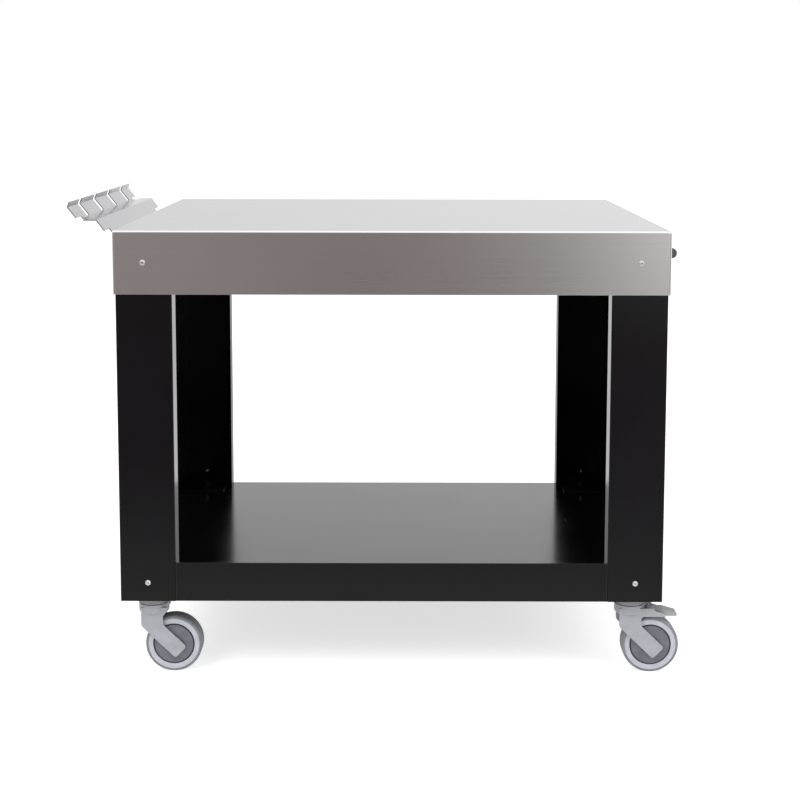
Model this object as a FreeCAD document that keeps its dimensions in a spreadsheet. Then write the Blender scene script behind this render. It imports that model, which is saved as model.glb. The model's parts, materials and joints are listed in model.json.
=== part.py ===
import FreeCAD, Part
import math
import os
import re

import Sketcher

# An outdoor pizza oven table on castors. Millimetres. +X is the table's right hand side, +Y its back,
# +Z up. The origin is on the floor, under the middle of the whole outline, rack and opener included.

SIZES = {
    # Worktop, one folded stainless sheet
    "worktop_width": 1000,
    "worktop_depth": 810,
    "worktop_height": 828,
    "apron_height": 115,
    "top_sheet": 1.5,
    "corner_radius": 5,
    "fold_radius": 4,
    "hem_height": 12,
    # Hat channels under the worktop
    "brace_spacing": 240,
    "brace_web": 40,
    "brace_flange": 15,
    "brace_height": 25,
    # Side panels, whose folded ends are the legs
    "panel_inset": 4,
    "panel_sheet": 2,
    "leg_width": 101.5,
    "rear_leg_width": 112.5,
    "leg_bottom": 146,
    "return_depth": 40,
    "bend_radius": 3,
    "top_flange": 30,
    # Tray shelf
    "lip_height": 72,
    "lip_return": 10,
    "lip_fold": 1.8,
    "side_upstand": 40,
    "rear_hem": 12,
    "seam_gap": 0.6,
    "tab_gap": 1.5,
    "seat_gap": 0.5,
    # Castor seats inside the leg bottoms
    "seat_sheet": 4,
    "seat_length": 84,
    # Button-head screws and rivet nuts
    "screw_radius": 3,
    "screw_length": 18,
    "head_radius": 5.25,
    "head_height": 3.3,
    "head_crown": 2.8,
    "socket_width": 4,
    "socket_depth": 1.8,
    "nut_radius": 4.5,
    "nut_length": 13,
    "nut_flange_radius": 7,
    "nut_flange": 1.5,
    "thread_gap": 0.05,
    "screw_clearance": 0.3,
    "foot_screw_rise": 35,
    # Tool rack, a folded sheet: each fold is given outward from the apron and up from the worktop's top
    "rack_sheet": 2,
    "rack_length": 584,
    "rack_mount_length": 490,
    "rack_foot_drop": 92,
    "rack_heel_drop": 60,
    "rack_base_out": 36.5,
    "rack_base_drop": 10.5,
    "rack_web_in": 50.5,
    "rack_web_out": 85,
    "rack_web_rise": 8.5,
    "rack_crest_out": 104,
    "rack_crest_rise": 32.5,
    "rack_lip_out": 100.5,
    "rack_lip_rise": 42,
    "rack_slot_width": 20,
    "rack_slot_pitch": 133,
    "rack_slot_foot": 2,
    "rack_notch_length": 42,
    "rack_notch_in": 75.5,
    "rack_notch_out": 89,
    "rack_notch_rise": 13,
    "rack_screw_drop": 77,
    "rack_screw_pitch": 120,
    # Bottle opener, a small casting
    "opener_reach": 41.5,
    "opener_setback": 189,
    "opener_plate": 5,
    "opener_plate_width": 54,
    "opener_plate_height": 76,
    "opener_hood_width": 38,
    "opener_hood_height": 19.4,
    "opener_wall": 5,
    "opener_lip": 8,
    "opener_nose_radius": 9.5,
    "opener_plate_corner": 13.5,
    "opener_screw_pitch": 52,
    # Castors
    "castor_setback": 52,
    "castor_side_setback": 57,
    "castor_trail": 38,
    "king_radius": 6,
    "king_head_radius": 11,
    "king_head_height": 7,
    "king_head_edge": 2.5,
    "king_head_gap": 0.3,
    "king_top": 166,
    "king_nut_width": 19,
    "king_nut_height": 10,
    "collar_radius": 27.5,
    "collar_height": 16,
    "collar_hub_radius": 12,
    "collar_hub_drop": 9,
    "swivel_gap": 0.4,
    "crown_radius": 28,
    "crown_bottom": 111,
    "crown_floor": 6,
    "crown_edge": 5.5,
    "cup_radius": 22,
    "ball_radius": 4.4,
    "ball_circle": 17,
    "running_gap": 0.05,
    "cheek_sheet": 3,
    "cheek_gap": 20,
    "cheek_top": 124,
    "cheek_back": 21,
    "cheek_throat": 19.5,
    "cheek_waist_height": 108,
    "cheek_shoulder": 27,
    "cheek_shoulder_height": 117.5,
    "arm_tilt": 44,
    "arm_width": 29.5,
    "arm_overrun": 19.5,
    "arm_corner": 5,
    "knee_radius": 10,
    "throat_radius": 7,
    "waist_radius": 6,
    "axle_radius": 5,
    # Castor wheel
    "wheel_diameter": 105,
    "tread_width": 32,
    "tyre_depth": 4.7,
    "tyre_shoulder": 4.2,
    "rim_depth": 9.3,
    "rim_width": 31,
    "web_thickness": 8,
    "hub_radius": 14,
    "hub_width": 37,
    "bush_radius": 8,
    "bush_width": 39,
    "cover_gap": 1.1,
    "cover_inner_face": 12.8,
    "cover_edge_face": 14.6,
    "cover_outer_face": 16.6,
    "cover_flat_radius": 22.4,
    # Castor brake
    "brake_pin_radius": 2.5,
    "brake_pin_trail": 38.5,
    "brake_pin_height": 115.5,
    "housing_bottom": 108.5,
    "housing_reach": 64.5,
    "housing_tip_height": 112.5,
    "housing_step": 46,
    "housing_step_height": 118.5,
    "housing_shoulder": 42.5,
    "pedal_heel": 33.5,
    "pedal_heel_bottom": 112,
    "pedal_root": 47,
    "pedal_bend": 62,
    "pedal_top": 119,
    "pedal_tip": 87,
    "pedal_tip_top": 111.5,
    "pedal_tip_bottom": 106.5,
    "pedal_sole": 67,
    "pedal_neck": 61,
    "pedal_half_width": 12,
    "pedal_heel_half_width": 8,
    "pedal_skin": 2,
    "pedal_tip_edge": 1.2,
    "shoe_heel": 46,
    "shoe_toe": 56,
    "shoe_seat": 110.5,
    "shoe_heel_bottom": 106.5,
    "shoe_toe_bottom": 106.5,
    "shoe_half_width": 11,
}

BALL_COUNT = 11
LEFT = "-1"
RIGHT = "1"
FRONT = "-1"
BACK = "1"

# Places worked out from the driving sizes
TABLE_X = "((rack_crest_out + rack_sheet / 2 - opener_reach) / 2)"
HALF_WIDTH = "(worktop_width / 2)"
HALF_DEPTH = "(worktop_depth / 2)"
APRON_BOTTOM = "(worktop_height - apron_height)"
APRON_MIDDLE = "(worktop_height - apron_height / 2)"
TOP_UNDERSIDE = "(worktop_height - top_sheet)"
PANEL_OUT = "(worktop_width / 2 - panel_inset)"
PANEL_SKIN = "(worktop_width / 2 - panel_inset - panel_sheet)"
PANEL_END = "(worktop_depth / 2 - panel_inset)"
PANEL_END_SKIN = "(worktop_depth / 2 - panel_inset - panel_sheet)"
LEG_INNER = "(worktop_width / 2 - panel_inset - leg_width)"
REAR_INNER = "(worktop_width / 2 - panel_inset - rear_leg_width)"
LEG_CENTRE = "(worktop_width / 2 - panel_inset - leg_width / 2)"
FOOT_SCREW_HEIGHT = "(leg_bottom + foot_screw_rise)"
TRAY_TOP = "(leg_bottom + panel_sheet)"
LIP_TOP = "(leg_bottom + lip_height)"
APRON_SHIM = "(panel_inset - top_sheet)"
SEAT_TOP = "(leg_bottom + panel_sheet + seat_sheet)"
CASTOR_X = "(worktop_width / 2 - castor_side_setback)"
CASTOR_Y = "(worktop_depth / 2 - castor_setback)"
WHEEL_RADIUS = "(wheel_diameter / 2)"
RIM_RADIUS = "(wheel_diameter / 2 - tyre_depth)"
COVER_SEAT = "(wheel_diameter / 2 - tyre_depth - rim_depth)"
CHEEK_OUT = "(cheek_gap + cheek_sheet)"
OVERCUT = "panel_sheet / 2"
ARM_COS = "cos(arm_tilt * 1 deg)"
ARM_SIN = "sin(arm_tilt * 1 deg)"

doc = FreeCAD.newDocument("pizza_oven_table")
sheet = doc.addObject("Spreadsheet::Sheet", "Sizes")
for row, (alias, number) in enumerate(SIZES.items(), start=1):
    sheet.set("A%d" % row, alias)
    sheet.set("B%d" % row, str(number))
    sheet.setAlias("B%d" % row, alias)
doc.recompute()

nodes = []


def bound(text):
    """The expression with every driving size named in the sheet."""
    return re.sub(r"[a-z][a-z_]+", lambda word: ("Sizes." if word[0] in SIZES else "") + word[0], text)


def value(text):
    """The expression's number now."""
    number = sheet.evalExpression(text)
    return float(getattr(number, "Value", number))


def bind(thing, name, text):
    """Bind one property of a document object to an expression."""
    thing.setExpression(name, bound(text))


def place(thing, x="0", y="0", z="0", rotation=None):
    """Set a turn if there is one, and bind the place."""
    if rotation is not None:
        thing.Placement = FreeCAD.Placement(FreeCAD.Vector(), rotation)
    for axis, text in (("x", x), ("y", y), ("z", z)):
        bind(thing, "Placement.Base." + axis, text)


def new_body(label, x=TABLE_X, y="0", z="0", rotation=None):
    """An empty body at its place; the table's own centre line is the default."""
    body = doc.addObject("PartDesign::Body", label)
    body.Label = label
    place(body, x, y, z, rotation)
    return body


def node(thing):
    """Note a finished object as a sub-part that gets a file."""
    nodes.append(thing)
    return thing


def group(label, bodies):
    """Several separate solids that share one sub-part."""
    compound = doc.addObject("Part::Compound", label)
    compound.Label = label
    compound.Links = bodies
    return node(compound)


def origin_feature(body, role):
    """A base plane or axis of the body."""
    return next(item for item in body.Origin.OriginFeatures if item.Role == role)


def new_sketch(body, role, offset="0"):
    """A sketch on a base plane of the body, moved along the plane's normal."""
    sketch = body.newObject("Sketcher::SketchObject", body.Label + "_sketch")
    sketch.AttachmentSupport = [(origin_feature(body, role), "")]
    sketch.MapMode = "FlatFace"
    bind(sketch, "AttachmentOffset.Base.z", offset)
    return sketch


def pin_point(sketch, geometry, point, x, y, name):
    """Hold one point of a sketch at bound distances from its origin."""
    for kind, text, mark in (("DistanceX", x, "_x"), ("DistanceY", y, "_y")):
        index = sketch.addConstraint(Sketcher.Constraint(kind, -1, 1, geometry, point, value(text)))
        sketch.renameConstraint(index, name + mark)
        bind(sketch, "Constraints." + name + mark, text)


def chain(sketch, corners, closed=True):
    """Straight edges through bound corners."""
    first = sketch.GeometryCount
    points = [FreeCAD.Vector(value(x), value(y), 0) for x, y in corners]
    ends = points[1:] + points[:1] if closed else points[1:]
    for start, end in zip(points, ends):
        sketch.addGeometry(Part.LineSegment(start, end), False)
    last = sketch.GeometryCount - 1
    for edge in range(first, last):
        sketch.addConstraint(Sketcher.Constraint("Coincident", edge, 2, edge + 1, 1))
    if closed:
        sketch.addConstraint(Sketcher.Constraint("Coincident", last, 2, first, 1))
    for number, (x, y) in enumerate(corners):
        at_end = not closed and number == len(corners) - 1
        edge = last if at_end else first + number
        pin_point(sketch, edge, 2 if at_end else 1, x, y, "corner_%d" % edge + ("_end" if at_end else ""))
    return sketch


def circle(sketch, x, y, radius):
    """A bound circle in a sketch."""
    centre = FreeCAD.Vector(value(x), value(y), 0)
    edge = sketch.addGeometry(Part.Circle(centre, FreeCAD.Vector(0, 0, 1), value(radius)), False)
    pin_point(sketch, edge, 3, x, y, "centre_%d" % edge)
    index = sketch.addConstraint(Sketcher.Constraint("Radius", edge, value(radius)))
    sketch.renameConstraint(index, "radius_%d" % edge)
    bind(sketch, "Constraints.radius_%d" % edge, radius)
    return sketch


def settle(feature):
    """Work the document out and stop if the new feature failed."""
    doc.recompute()
    if "Invalid" in feature.State or "Error" in feature.State:
        raise RuntimeError("%s failed: %s" % (feature.Label, feature.getStatusString()))
    return feature


def pad(body, sketch, length, symmetric=False):
    """Solid material along the sketch's normal."""
    feature = body.newObject("PartDesign::Pad", body.Label + "_pad")
    feature.Profile = sketch
    feature.SideType = "Symmetric" if symmetric else "One side"
    bind(feature, "Length", length)
    return settle(feature)


def pocket(body, sketch, length, symmetric=False, forwards=True):
    """Material taken away along the sketch's normal, or both ways; it has to remove some."""
    before = body.Shape.Volume
    feature = body.newObject("PartDesign::Pocket", body.Label + "_pocket")
    feature.Profile = sketch
    feature.SideType = "Symmetric" if symmetric else "One side"
    feature.Reversed = forwards
    bind(feature, "Length", length)
    settle(feature)
    if body.Shape.Volume > before - 0.01:
        raise RuntimeError("a pocket of %s removed nothing" % body.Label)
    return feature


def rounded(body, radius, chosen):
    """Fillet the edges of the body that the test chooses; it has to choose some."""
    base = body.Tip
    edges = base.Shape.Edges
    names = ["Edge%d" % number for number, edge in enumerate(edges, start=1) if chosen(edge)]
    if not names:
        raise RuntimeError("no edge of %s to round" % body.Label)
    feature = body.newObject("PartDesign::Fillet", body.Label + "_fillet")
    feature.Base = (base, names)
    bind(feature, "Radius", radius)
    return settle(feature)


def runs_along(edge, axis):
    """Is the edge straight along the axis?"""
    if not isinstance(edge.Curve, Part.Line):
        return False
    return abs(edge.Curve.Direction.dot(axis)) > 0.999


def at_ends(edge, distance):
    """Is the edge upright and this far in front of or behind the body's middle?"""
    return runs_along(edge, AXIS_Z) and abs(abs(edge.Vertexes[0].Point.y) - value(distance)) < 0.01


def passes(edge, x=None, y=None, z=None):
    """Is the edge's middle at these coordinates of the body?"""
    middle = edge.valueAt((edge.FirstParameter + edge.LastParameter) / 2)
    wanted = ((x, middle.x), (y, middle.y), (z, middle.z))
    return all(place is None or abs(place - found) < 0.01 for place, found in wanted)


AXIS_X = FreeCAD.Vector(1, 0, 0)
AXIS_Y = FreeCAD.Vector(0, 1, 0)
AXIS_Z = FreeCAD.Vector(0, 0, 1)


def rectangle(x_low, x_high, y_low, y_high):
    """Four corners for a sketch."""
    return [(x_low, y_low), (x_high, y_low), (x_high, y_high), (x_low, y_high)]


def hexagon(width):
    """Six corners, the width being across the flats."""
    half = "(%s / 2)" % width
    corner = "(%s / sqrt(3))" % width
    return [(corner, "0"), (corner + " / 2", half), ("-%s / 2" % corner, half),
            ("-" + corner, "0"), ("-%s / 2" % corner, "-" + half), (corner + " / 2", "-" + half)]


def block(body, x, y, z):
    """A box of the body between bound limits, each a pair."""
    sketch = chain(new_sketch(body, "XY_Plane", z[0]), rectangle(*x, *y))
    return pad(body, sketch, "%s - (%s)" % (z[1], z[0]))


def turned(body, outline, role="XZ_Plane", axis="Z_Axis"):
    """A solid of revolution from a half section, radius first."""
    sketch = chain(new_sketch(body, role), outline)
    feature = body.newObject("PartDesign::Revolution", body.Label + "_revolution")
    feature.Profile = sketch
    feature.ReferenceAxis = (origin_feature(body, axis), [""])
    feature.Angle = 360
    return settle(feature)


def along_y(body, corners, y_low, y_high):
    """Solid material of an X and Z outline between two depths."""
    sketch = chain(new_sketch(body, "XZ_Plane", "-(%s)" % y_high), corners)
    return pad(body, sketch, "%s - (%s)" % (y_high, y_low))


def hole_along_y(body, x, z, radius):
    """A round hole right through the body from front to back."""
    sketch = circle(new_sketch(body, "XZ_Plane"), x, z, radius)
    return pocket(body, sketch, "worktop_depth * 2", symmetric=True)


def hole_along_x(body, y, z, radius, x_start, length):
    """A round hole along +X from a start."""
    sketch = circle(new_sketch(body, "YZ_Plane", x_start), y, z, radius)
    return pocket(body, sketch, length)


def hole_along_z(body, x, y, radius, z_start, length):
    """A round hole along +Z from a start."""
    sketch = circle(new_sketch(body, "XY_Plane", z_start), x, y, radius)
    return pocket(body, sketch, length)


# Rows of holes that the worktop, the panels and the fasteners share

def leg_screw_places(height):
    """Screw axes through the four leg faces at one height: side, end, x, y and z."""
    places = []
    for end in (FRONT, BACK):
        for side in (LEFT, RIGHT):
            places.append((side, end, "%s * %s" % (side, LEG_CENTRE), height))
    return places


def rack_screw_places():
    """Depth and height of the four screws in the rack's foot."""
    height = "(worktop_height - rack_screw_drop)"
    return [("rack_screw_pitch * %s" % step, height) for step in ("-1.5", "-0.5", "0.5", "1.5")]


def opener_screw_places():
    """Depth and height of the two screws in the opener's plate."""
    depth = "(opener_setback - worktop_depth / 2)"
    return [(depth, "(%s + %s * opener_screw_pitch / 2)" % (APRON_MIDDLE, end)) for end in ("-1", "1")]


CLEAR_HOLE = "(screw_radius + screw_clearance)"
NUT_HOLE = "(nut_radius + thread_gap)"


def side_holes(body, places, side, radius):
    """Holes through the side of the worktop or of a panel."""
    start = "worktop_width / 4" if side == RIGHT else "-worktop_width"
    for y, z in places:
        hole_along_x(body, y, z, radius, start, "worktop_width * 3 / 4")


# Worktop

def make_worktop():
    """Top and apron folded from one sheet, welded corners, a flat hem at the apron's edge."""
    body = new_body("worktop")
    block(body, ("-" + HALF_WIDTH, HALF_WIDTH), ("-" + HALF_DEPTH, HALF_DEPTH), (APRON_BOTTOM, "worktop_height"))
    rounded(body, "corner_radius", lambda edge: runs_along(edge, AXIS_Z))
    top = value("worktop_height")
    rounded(body, "fold_radius", lambda edge: abs(edge.BoundBox.ZMin - top) < 0.01)
    base = body.Tip
    bottom = value(APRON_BOTTOM)
    mouth = [number for number, face in enumerate(base.Shape.Faces, start=1)
             if abs(face.BoundBox.ZMax - bottom) < 0.01]
    shell = body.newObject("PartDesign::Thickness", "worktop_shell")
    shell.Base = (base, ["Face%d" % mouth[0]])
    bind(shell, "Value", "top_sheet")
    shell.Reversed = True
    doc.recompute()
    hem = new_sketch(body, "XY_Plane", APRON_BOTTOM)
    outer_x = "(worktop_width / 2 - top_sheet)"
    outer_y = "(worktop_depth / 2 - top_sheet)"
    inner_x = "(worktop_width / 2 - top_sheet * 2)"
    inner_y = "(worktop_depth / 2 - top_sheet * 2)"
    chain(hem, rectangle("-" + outer_x, outer_x, "-" + outer_y, outer_y))
    chain(hem, rectangle("-" + inner_x, inner_x, "-" + inner_y, inner_y))
    pad(body, hem, "hem_height")
    for x in ("-" + LEG_CENTRE, LEG_CENTRE):
        hole_along_y(body, x, APRON_MIDDLE, CLEAR_HOLE)
    side_holes(body, rack_screw_places(), LEFT, CLEAR_HOLE)
    side_holes(body, opener_screw_places(), RIGHT, CLEAR_HOLE)
    return node(body)


def make_worktop_braces():
    """Three hat channels that stiffen the top from below."""
    foot = "(brace_web / 2 + brace_flange)"
    wall = "(brace_web / 2)"
    inner = "(brace_web / 2 - top_sheet)"
    section = [
        ("-" + foot, "0"), ("-" + inner, "0"), ("-" + inner, "top_sheet - brace_height"),
        (inner, "top_sheet - brace_height"), (inner, "0"), (foot, "0"), (foot, "-top_sheet"),
        (wall, "-top_sheet"), (wall, "-brace_height"), ("-" + wall, "-brace_height"),
        ("-" + wall, "-top_sheet"), ("-" + foot, "-top_sheet"),
    ]
    span = "(%s - top_flange - tab_gap) * 2" % PANEL_SKIN
    braces = []
    for name, step in (("front", "-1"), ("middle", "0"), ("rear", "1")):
        body = new_body("brace_" + name, TABLE_X, "brace_spacing * " + step, TOP_UNDERSIDE)
        pad(body, chain(new_sketch(body, "YZ_Plane"), section), span, symmetric=True)
        braces.append(body)
    return group("worktop_braces", braces)


# Frame

def beside(side, *distances):
    """The distances on one side of the table's centre line."""
    return ["%s * (%s)" % (side, text) for text in distances]


def make_side_panel(label, side):
    """One folded sheet: front leg face and return, side, wider rear leg face and return, top flange."""
    body = new_body(label)
    height = ("leg_bottom", TOP_UNDERSIDE)
    block(body, beside(side, PANEL_OUT, LEG_INNER), ("-" + PANEL_END, PANEL_END), height)
    block(body, beside(side, PANEL_OUT, REAR_INNER), ("0", PANEL_END), height)
    rounded(body, "bend_radius", lambda edge: at_ends(edge, PANEL_END))
    hollow = new_sketch(body, "XY_Plane", "leg_bottom")
    skin, front, rear = beside(side, PANEL_SKIN, LEG_INNER + " + panel_sheet", REAR_INNER + " + panel_sheet")
    chain(hollow, [(skin, "-" + PANEL_END_SKIN), (front, "-" + PANEL_END_SKIN), (front, "0"), (rear, "0"),
                   (rear, PANEL_END_SKIN), (skin, PANEL_END_SKIN)])
    pocket(body, hollow, "worktop_height")
    rounded(body, "bend_radius - panel_sheet", lambda edge: at_ends(edge, PANEL_END_SKIN))
    mouth_x = beside(side, LEG_INNER + " + panel_sheet + " + OVERCUT, REAR_INNER + " - " + OVERCUT)
    mouth_y = "(%s - return_depth)" % PANEL_END
    mouth = new_sketch(body, "XY_Plane", "leg_bottom")
    chain(mouth, rectangle(*mouth_x, "-" + mouth_y, mouth_y))
    pocket(body, mouth, "worktop_height")
    foot = new_sketch(body, "XY_Plane", "leg_bottom")
    chain(foot, rectangle(*mouth_x, "-" + PANEL_END_SKIN, PANEL_END_SKIN))
    pocket(body, foot, "panel_sheet")
    flange_y = "(%s - return_depth - tab_gap)" % PANEL_END
    block(body, beside(side, PANEL_SKIN + " + " + OVERCUT, PANEL_SKIN + " - top_flange"),
          ("-" + flange_y, flange_y), (TOP_UNDERSIDE + " - panel_sheet", TOP_UNDERSIDE))
    for height, radius in ((APRON_MIDDLE, NUT_HOLE), (FOOT_SCREW_HEIGHT, CLEAR_HOLE)):
        hole_along_y(body, side + " * " + LEG_CENTRE, height, radius)
    places = rack_screw_places() if side == LEFT else opener_screw_places()
    side_holes(body, places, side, NUT_HOLE)
    return node(body)


def make_shelf_tray():
    """Floor, flush front lip with a return, tabs behind the leg faces, side upstands, rear hem."""
    body = new_body("shelf_tray")
    lip_x = "(%s - seam_gap)" % LEG_INNER
    hem_x = "(%s - seam_gap)" % REAR_INNER
    floor = ("leg_bottom", TRAY_TOP)
    block(body, ("-" + PANEL_SKIN, PANEL_SKIN), ("-" + PANEL_END_SKIN, PANEL_END_SKIN), floor)
    rounded(body, "bend_radius", lambda edge: runs_along(edge, AXIS_Z))
    block(body, ("-" + lip_x, lip_x), ("-" + PANEL_END, "0"), floor)
    block(body, ("-" + hem_x, hem_x), ("0", PANEL_END), floor)
    block(body, ("-" + lip_x, lip_x), ("-" + PANEL_END, "-" + PANEL_END_SKIN), ("leg_bottom", LIP_TOP))
    block(body, ("-" + lip_x, lip_x), ("-" + PANEL_END, "-(%s - lip_return)" % PANEL_END),
          (LIP_TOP + " - panel_sheet", LIP_TOP))
    front = -value(PANEL_END)
    rounded(body, "lip_fold", lambda edge: runs_along(edge, AXIS_X) and passes(edge, y=front))
    hem_y = ("(%s - rear_hem)" % PANEL_END, PANEL_END)
    block(body, ("-" + hem_x, hem_x), hem_y, ("leg_bottom - panel_sheet", "leg_bottom"))
    tab_inner = "(%s + panel_sheet + tab_gap)" % LEG_INNER
    tab_outer = "(%s - panel_sheet)" % PANEL_SKIN
    for side in (LEFT, RIGHT):
        tab_x = beside(side, tab_inner, tab_outer)
        for end in (FRONT, BACK):
            tab_y = ["%s * (%s - panel_sheet)" % (end, PANEL_END_SKIN), "%s * %s" % (end, PANEL_END_SKIN)]
            block(body, tab_x, tab_y, (TRAY_TOP, LIP_TOP))
            hole_along_z(body, side + " * " + CASTOR_X, end + " * " + CASTOR_Y, "(king_radius + running_gap)",
                         "leg_bottom - " + OVERCUT, "panel_sheet * 2")
        upstand_y = "(%s - return_depth - tab_gap)" % PANEL_END
        block(body, beside(side, tab_outer, PANEL_SKIN), ("-" + upstand_y, upstand_y),
              (TRAY_TOP, "%s + side_upstand" % TRAY_TOP))
        hole_along_y(body, side + " * " + LEG_CENTRE, FOOT_SCREW_HEIGHT, CLEAR_HOLE)
    return node(body)


def make_castor_seats():
    """Thick plates in the four leg bottoms that spread the castors' load."""
    seats = []
    inner = "(%s + panel_sheet + tab_gap)" % LEG_INNER
    outer = "(%s - panel_sheet)" % PANEL_SKIN
    end_out = "(%s - panel_sheet - seat_gap)" % PANEL_END_SKIN
    end_in = "(%s - seat_length)" % PANEL_END_SKIN
    for end_name, end in (("front", FRONT), ("rear", BACK)):
        for side_name, side in (("left", LEFT), ("right", RIGHT)):
            body = new_body("seat_%s_%s" % (end_name, side_name))
            block(body, beside(side, inner, outer), beside(end, end_out, end_in), (TRAY_TOP, SEAT_TOP))
            hole_along_z(body, side + " * " + CASTOR_X, end + " * " + CASTOR_Y, "(king_radius + running_gap)",
                         TRAY_TOP + " - " + OVERCUT, "seat_sheet + panel_sheet")
            seats.append(body)
    return group("castor_seats", seats)


# Fasteners

def make_screw(label, x, y, z, rotation):
    """Button-head screw: the head's bearing face is the place, the head points along the turned +Z."""
    body = new_body(label, x, y, z, rotation)
    turned(body, [("0", "-screw_length"), ("screw_radius", "-screw_length"), ("screw_radius", "0"),
                  ("head_radius", "0"), ("head_radius", "head_height"), ("0", "head_height")])
    crest = value("head_height")
    rounded(body, "head_crown", lambda edge: abs(edge.BoundBox.ZMin - crest) < 0.01 and edge.Length > 1)
    socket = chain(new_sketch(body, "XY_Plane", "head_height - socket_depth"), hexagon("socket_width"))
    pocket(body, socket, "head_height")
    return body


def make_nut(label, x, y, z, rotation, flange):
    """Flanged round nut: the flange's outer face is the place and the nut runs inwards from it."""
    body = new_body(label, x, y, z, rotation)
    bore = "(screw_radius + thread_gap)"
    turned(body, [(bore, "0"), ("nut_flange_radius", "0"), ("nut_flange_radius", "-(%s)" % flange),
                  ("nut_radius", "-(%s)" % flange), ("nut_radius", "-nut_length"), (bore, "-nut_length")])
    return body


TO_FRONT = FreeCAD.Rotation(AXIS_X, 90)
TO_BACK = FreeCAD.Rotation(AXIS_X, -90)
TO_LEFT = FreeCAD.Rotation(AXIS_Y, -90)
TO_RIGHT = FreeCAD.Rotation(AXIS_Y, 90)


def make_leg_fasteners(name, height, bearing, nut_face, flange):
    """Screws and nuts through the four leg faces; the heads bear on one plane, the nuts start at another."""
    screws = []
    nuts = []
    for side, end, x, z in leg_screw_places(height):
        rotation = TO_FRONT if end == FRONT else TO_BACK
        tag = "%s_%d" % (name, len(screws) + 1)
        place_x = TABLE_X + " + " + x
        screws.append(make_screw(tag + "_screw", place_x, "%s * %s" % (end, bearing), z, rotation))
        nuts.append(make_nut(tag + "_nut", place_x, "%s * (%s)" % (end, nut_face), z, rotation, flange))
    group(name + "_screws", screws)
    group(name + "_nuts", nuts)


def make_side_fasteners(name, places, side, plate):
    """Screws and rivet nuts through one side, under a plate of the given thickness."""
    screws = []
    nuts = []
    rotation = TO_LEFT if side == LEFT else TO_RIGHT
    for y, z in places:
        tag = "%s_%d" % (name, len(screws) + 1)
        surface = "%s + %s * (%s + %s)" % (TABLE_X, side, HALF_WIDTH, plate)
        screws.append(make_screw(tag + "_screw", surface, y, z, rotation))
        nut_face = "%s + %s * (%s + %s)" % (TABLE_X, side, PANEL_OUT, APRON_SHIM)
        nuts.append(make_nut(tag + "_nut", nut_face, y, z, rotation, APRON_SHIM))
    group(name + "_screws", screws)
    group(name + "_nuts", nuts)


# Tool rack

def folded_strip(label, corners, width):
    """A sheet folded through bound corners of an X and Z section, centred on y = 0."""
    section = doc.addObject("Sketcher::SketchObject", label + "_section")
    section.Placement = FreeCAD.Placement(FreeCAD.Vector(), TO_FRONT)
    chain(section, corners, closed=False)
    doc.recompute()
    thick = doc.addObject("Part::Offset2D", label + "_thick")
    thick.Source = section
    thick.Fill = True
    bind(thick, "Value", "rack_sheet / 2")
    strip = doc.addObject("Part::Extrusion", label)
    strip.Base = thick
    strip.DirMode = "Custom"
    strip.Dir = AXIS_Y
    strip.Solid = True
    strip.Symmetric = True
    bind(strip, "LengthFwd", width)
    doc.recompute()
    return strip


def cutter(label, x, y, z):
    """A box between bound limits that is taken away from a sheet."""
    tool = doc.addObject("Part::Box", label)
    for axis, side, limits in (("x", "Length", x), ("y", "Width", y), ("z", "Height", z)):
        bind(tool, "Placement.Base." + axis, limits[0])
        bind(tool, side, "%s - (%s)" % (limits[1], limits[0]))
    return tool


def make_tool_rack():
    """Foot on the apron, sloping base, level web, sloping face with a lip, cut into five tabs."""
    def fold(out, rise):
        return ("-(%s + %s)" % (HALF_WIDTH, out), "worktop_height + %s" % rise)
    base = fold("rack_base_out", "(-rack_base_drop)")
    upper = folded_strip("rack_upper", [
        base, fold("rack_web_in", "rack_web_rise"), fold("rack_web_out", "rack_web_rise"),
        fold("rack_crest_out", "rack_crest_rise"), fold("rack_lip_out", "rack_lip_rise")], "rack_length")
    lower = folded_strip("rack_lower", [
        fold("rack_sheet / 2", "(-rack_foot_drop)"), fold("rack_sheet / 2", "(-rack_heel_drop)"), base],
        "rack_mount_length")
    sheet_metal = doc.addObject("Part::MultiFuse", "rack_sheet_metal")
    sheet_metal.Shapes = [upper, lower]
    tools = []
    slot_x = ["-(%s + %s)" % (HALF_WIDTH, out) for out in ("rack_crest_out + rack_sheet * 2", "rack_web_in")]
    slot_z = ("worktop_height + rack_web_rise + rack_slot_foot", "worktop_height + rack_lip_rise + rack_sheet * 2")
    for step in ("-1.5", "-0.5", "0.5", "1.5"):
        centre = "rack_slot_pitch * " + step
        slot_y = [centre + side + "rack_slot_width / 2" for side in (" - ", " + ")]
        tools.append(cutter("rack_slot", slot_x, slot_y, slot_z))
    notch_x = ["-(%s + %s)" % (HALF_WIDTH, out) for out in ("rack_notch_out", "rack_notch_in")]
    notch_z = ("worktop_height", "worktop_height + rack_notch_rise")
    inner = "(rack_length / 2 - rack_notch_length)"
    outer = "(rack_length / 2 + rack_sheet)"
    for notch_y in (("-" + outer, "-" + inner), (inner, outer)):
        tools.append(cutter("rack_notch", notch_x, notch_y, notch_z))
    for number, (y, z) in enumerate(rack_screw_places()):
        drill = doc.addObject("Part::Cylinder", "rack_drill_%d" % number)
        drill.Placement = FreeCAD.Placement(FreeCAD.Vector(), TO_LEFT)
        bind(drill, "Radius", CLEAR_HOLE)
        bind(drill, "Height", "rack_sheet * 3")
        place(drill, "-(%s - rack_sheet)" % HALF_WIDTH, y, z, TO_LEFT)
        tools.append(drill)
    waste = doc.addObject("Part::MultiFuse", "rack_waste")
    waste.Shapes = tools
    rack = doc.addObject("Part::Cut", "tool_rack")
    rack.Label = "tool_rack"
    rack.Base = sheet_metal
    rack.Tool = waste
    place(rack, TABLE_X)
    doc.recompute()
    return node(rack)


# Bottle opener

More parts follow.
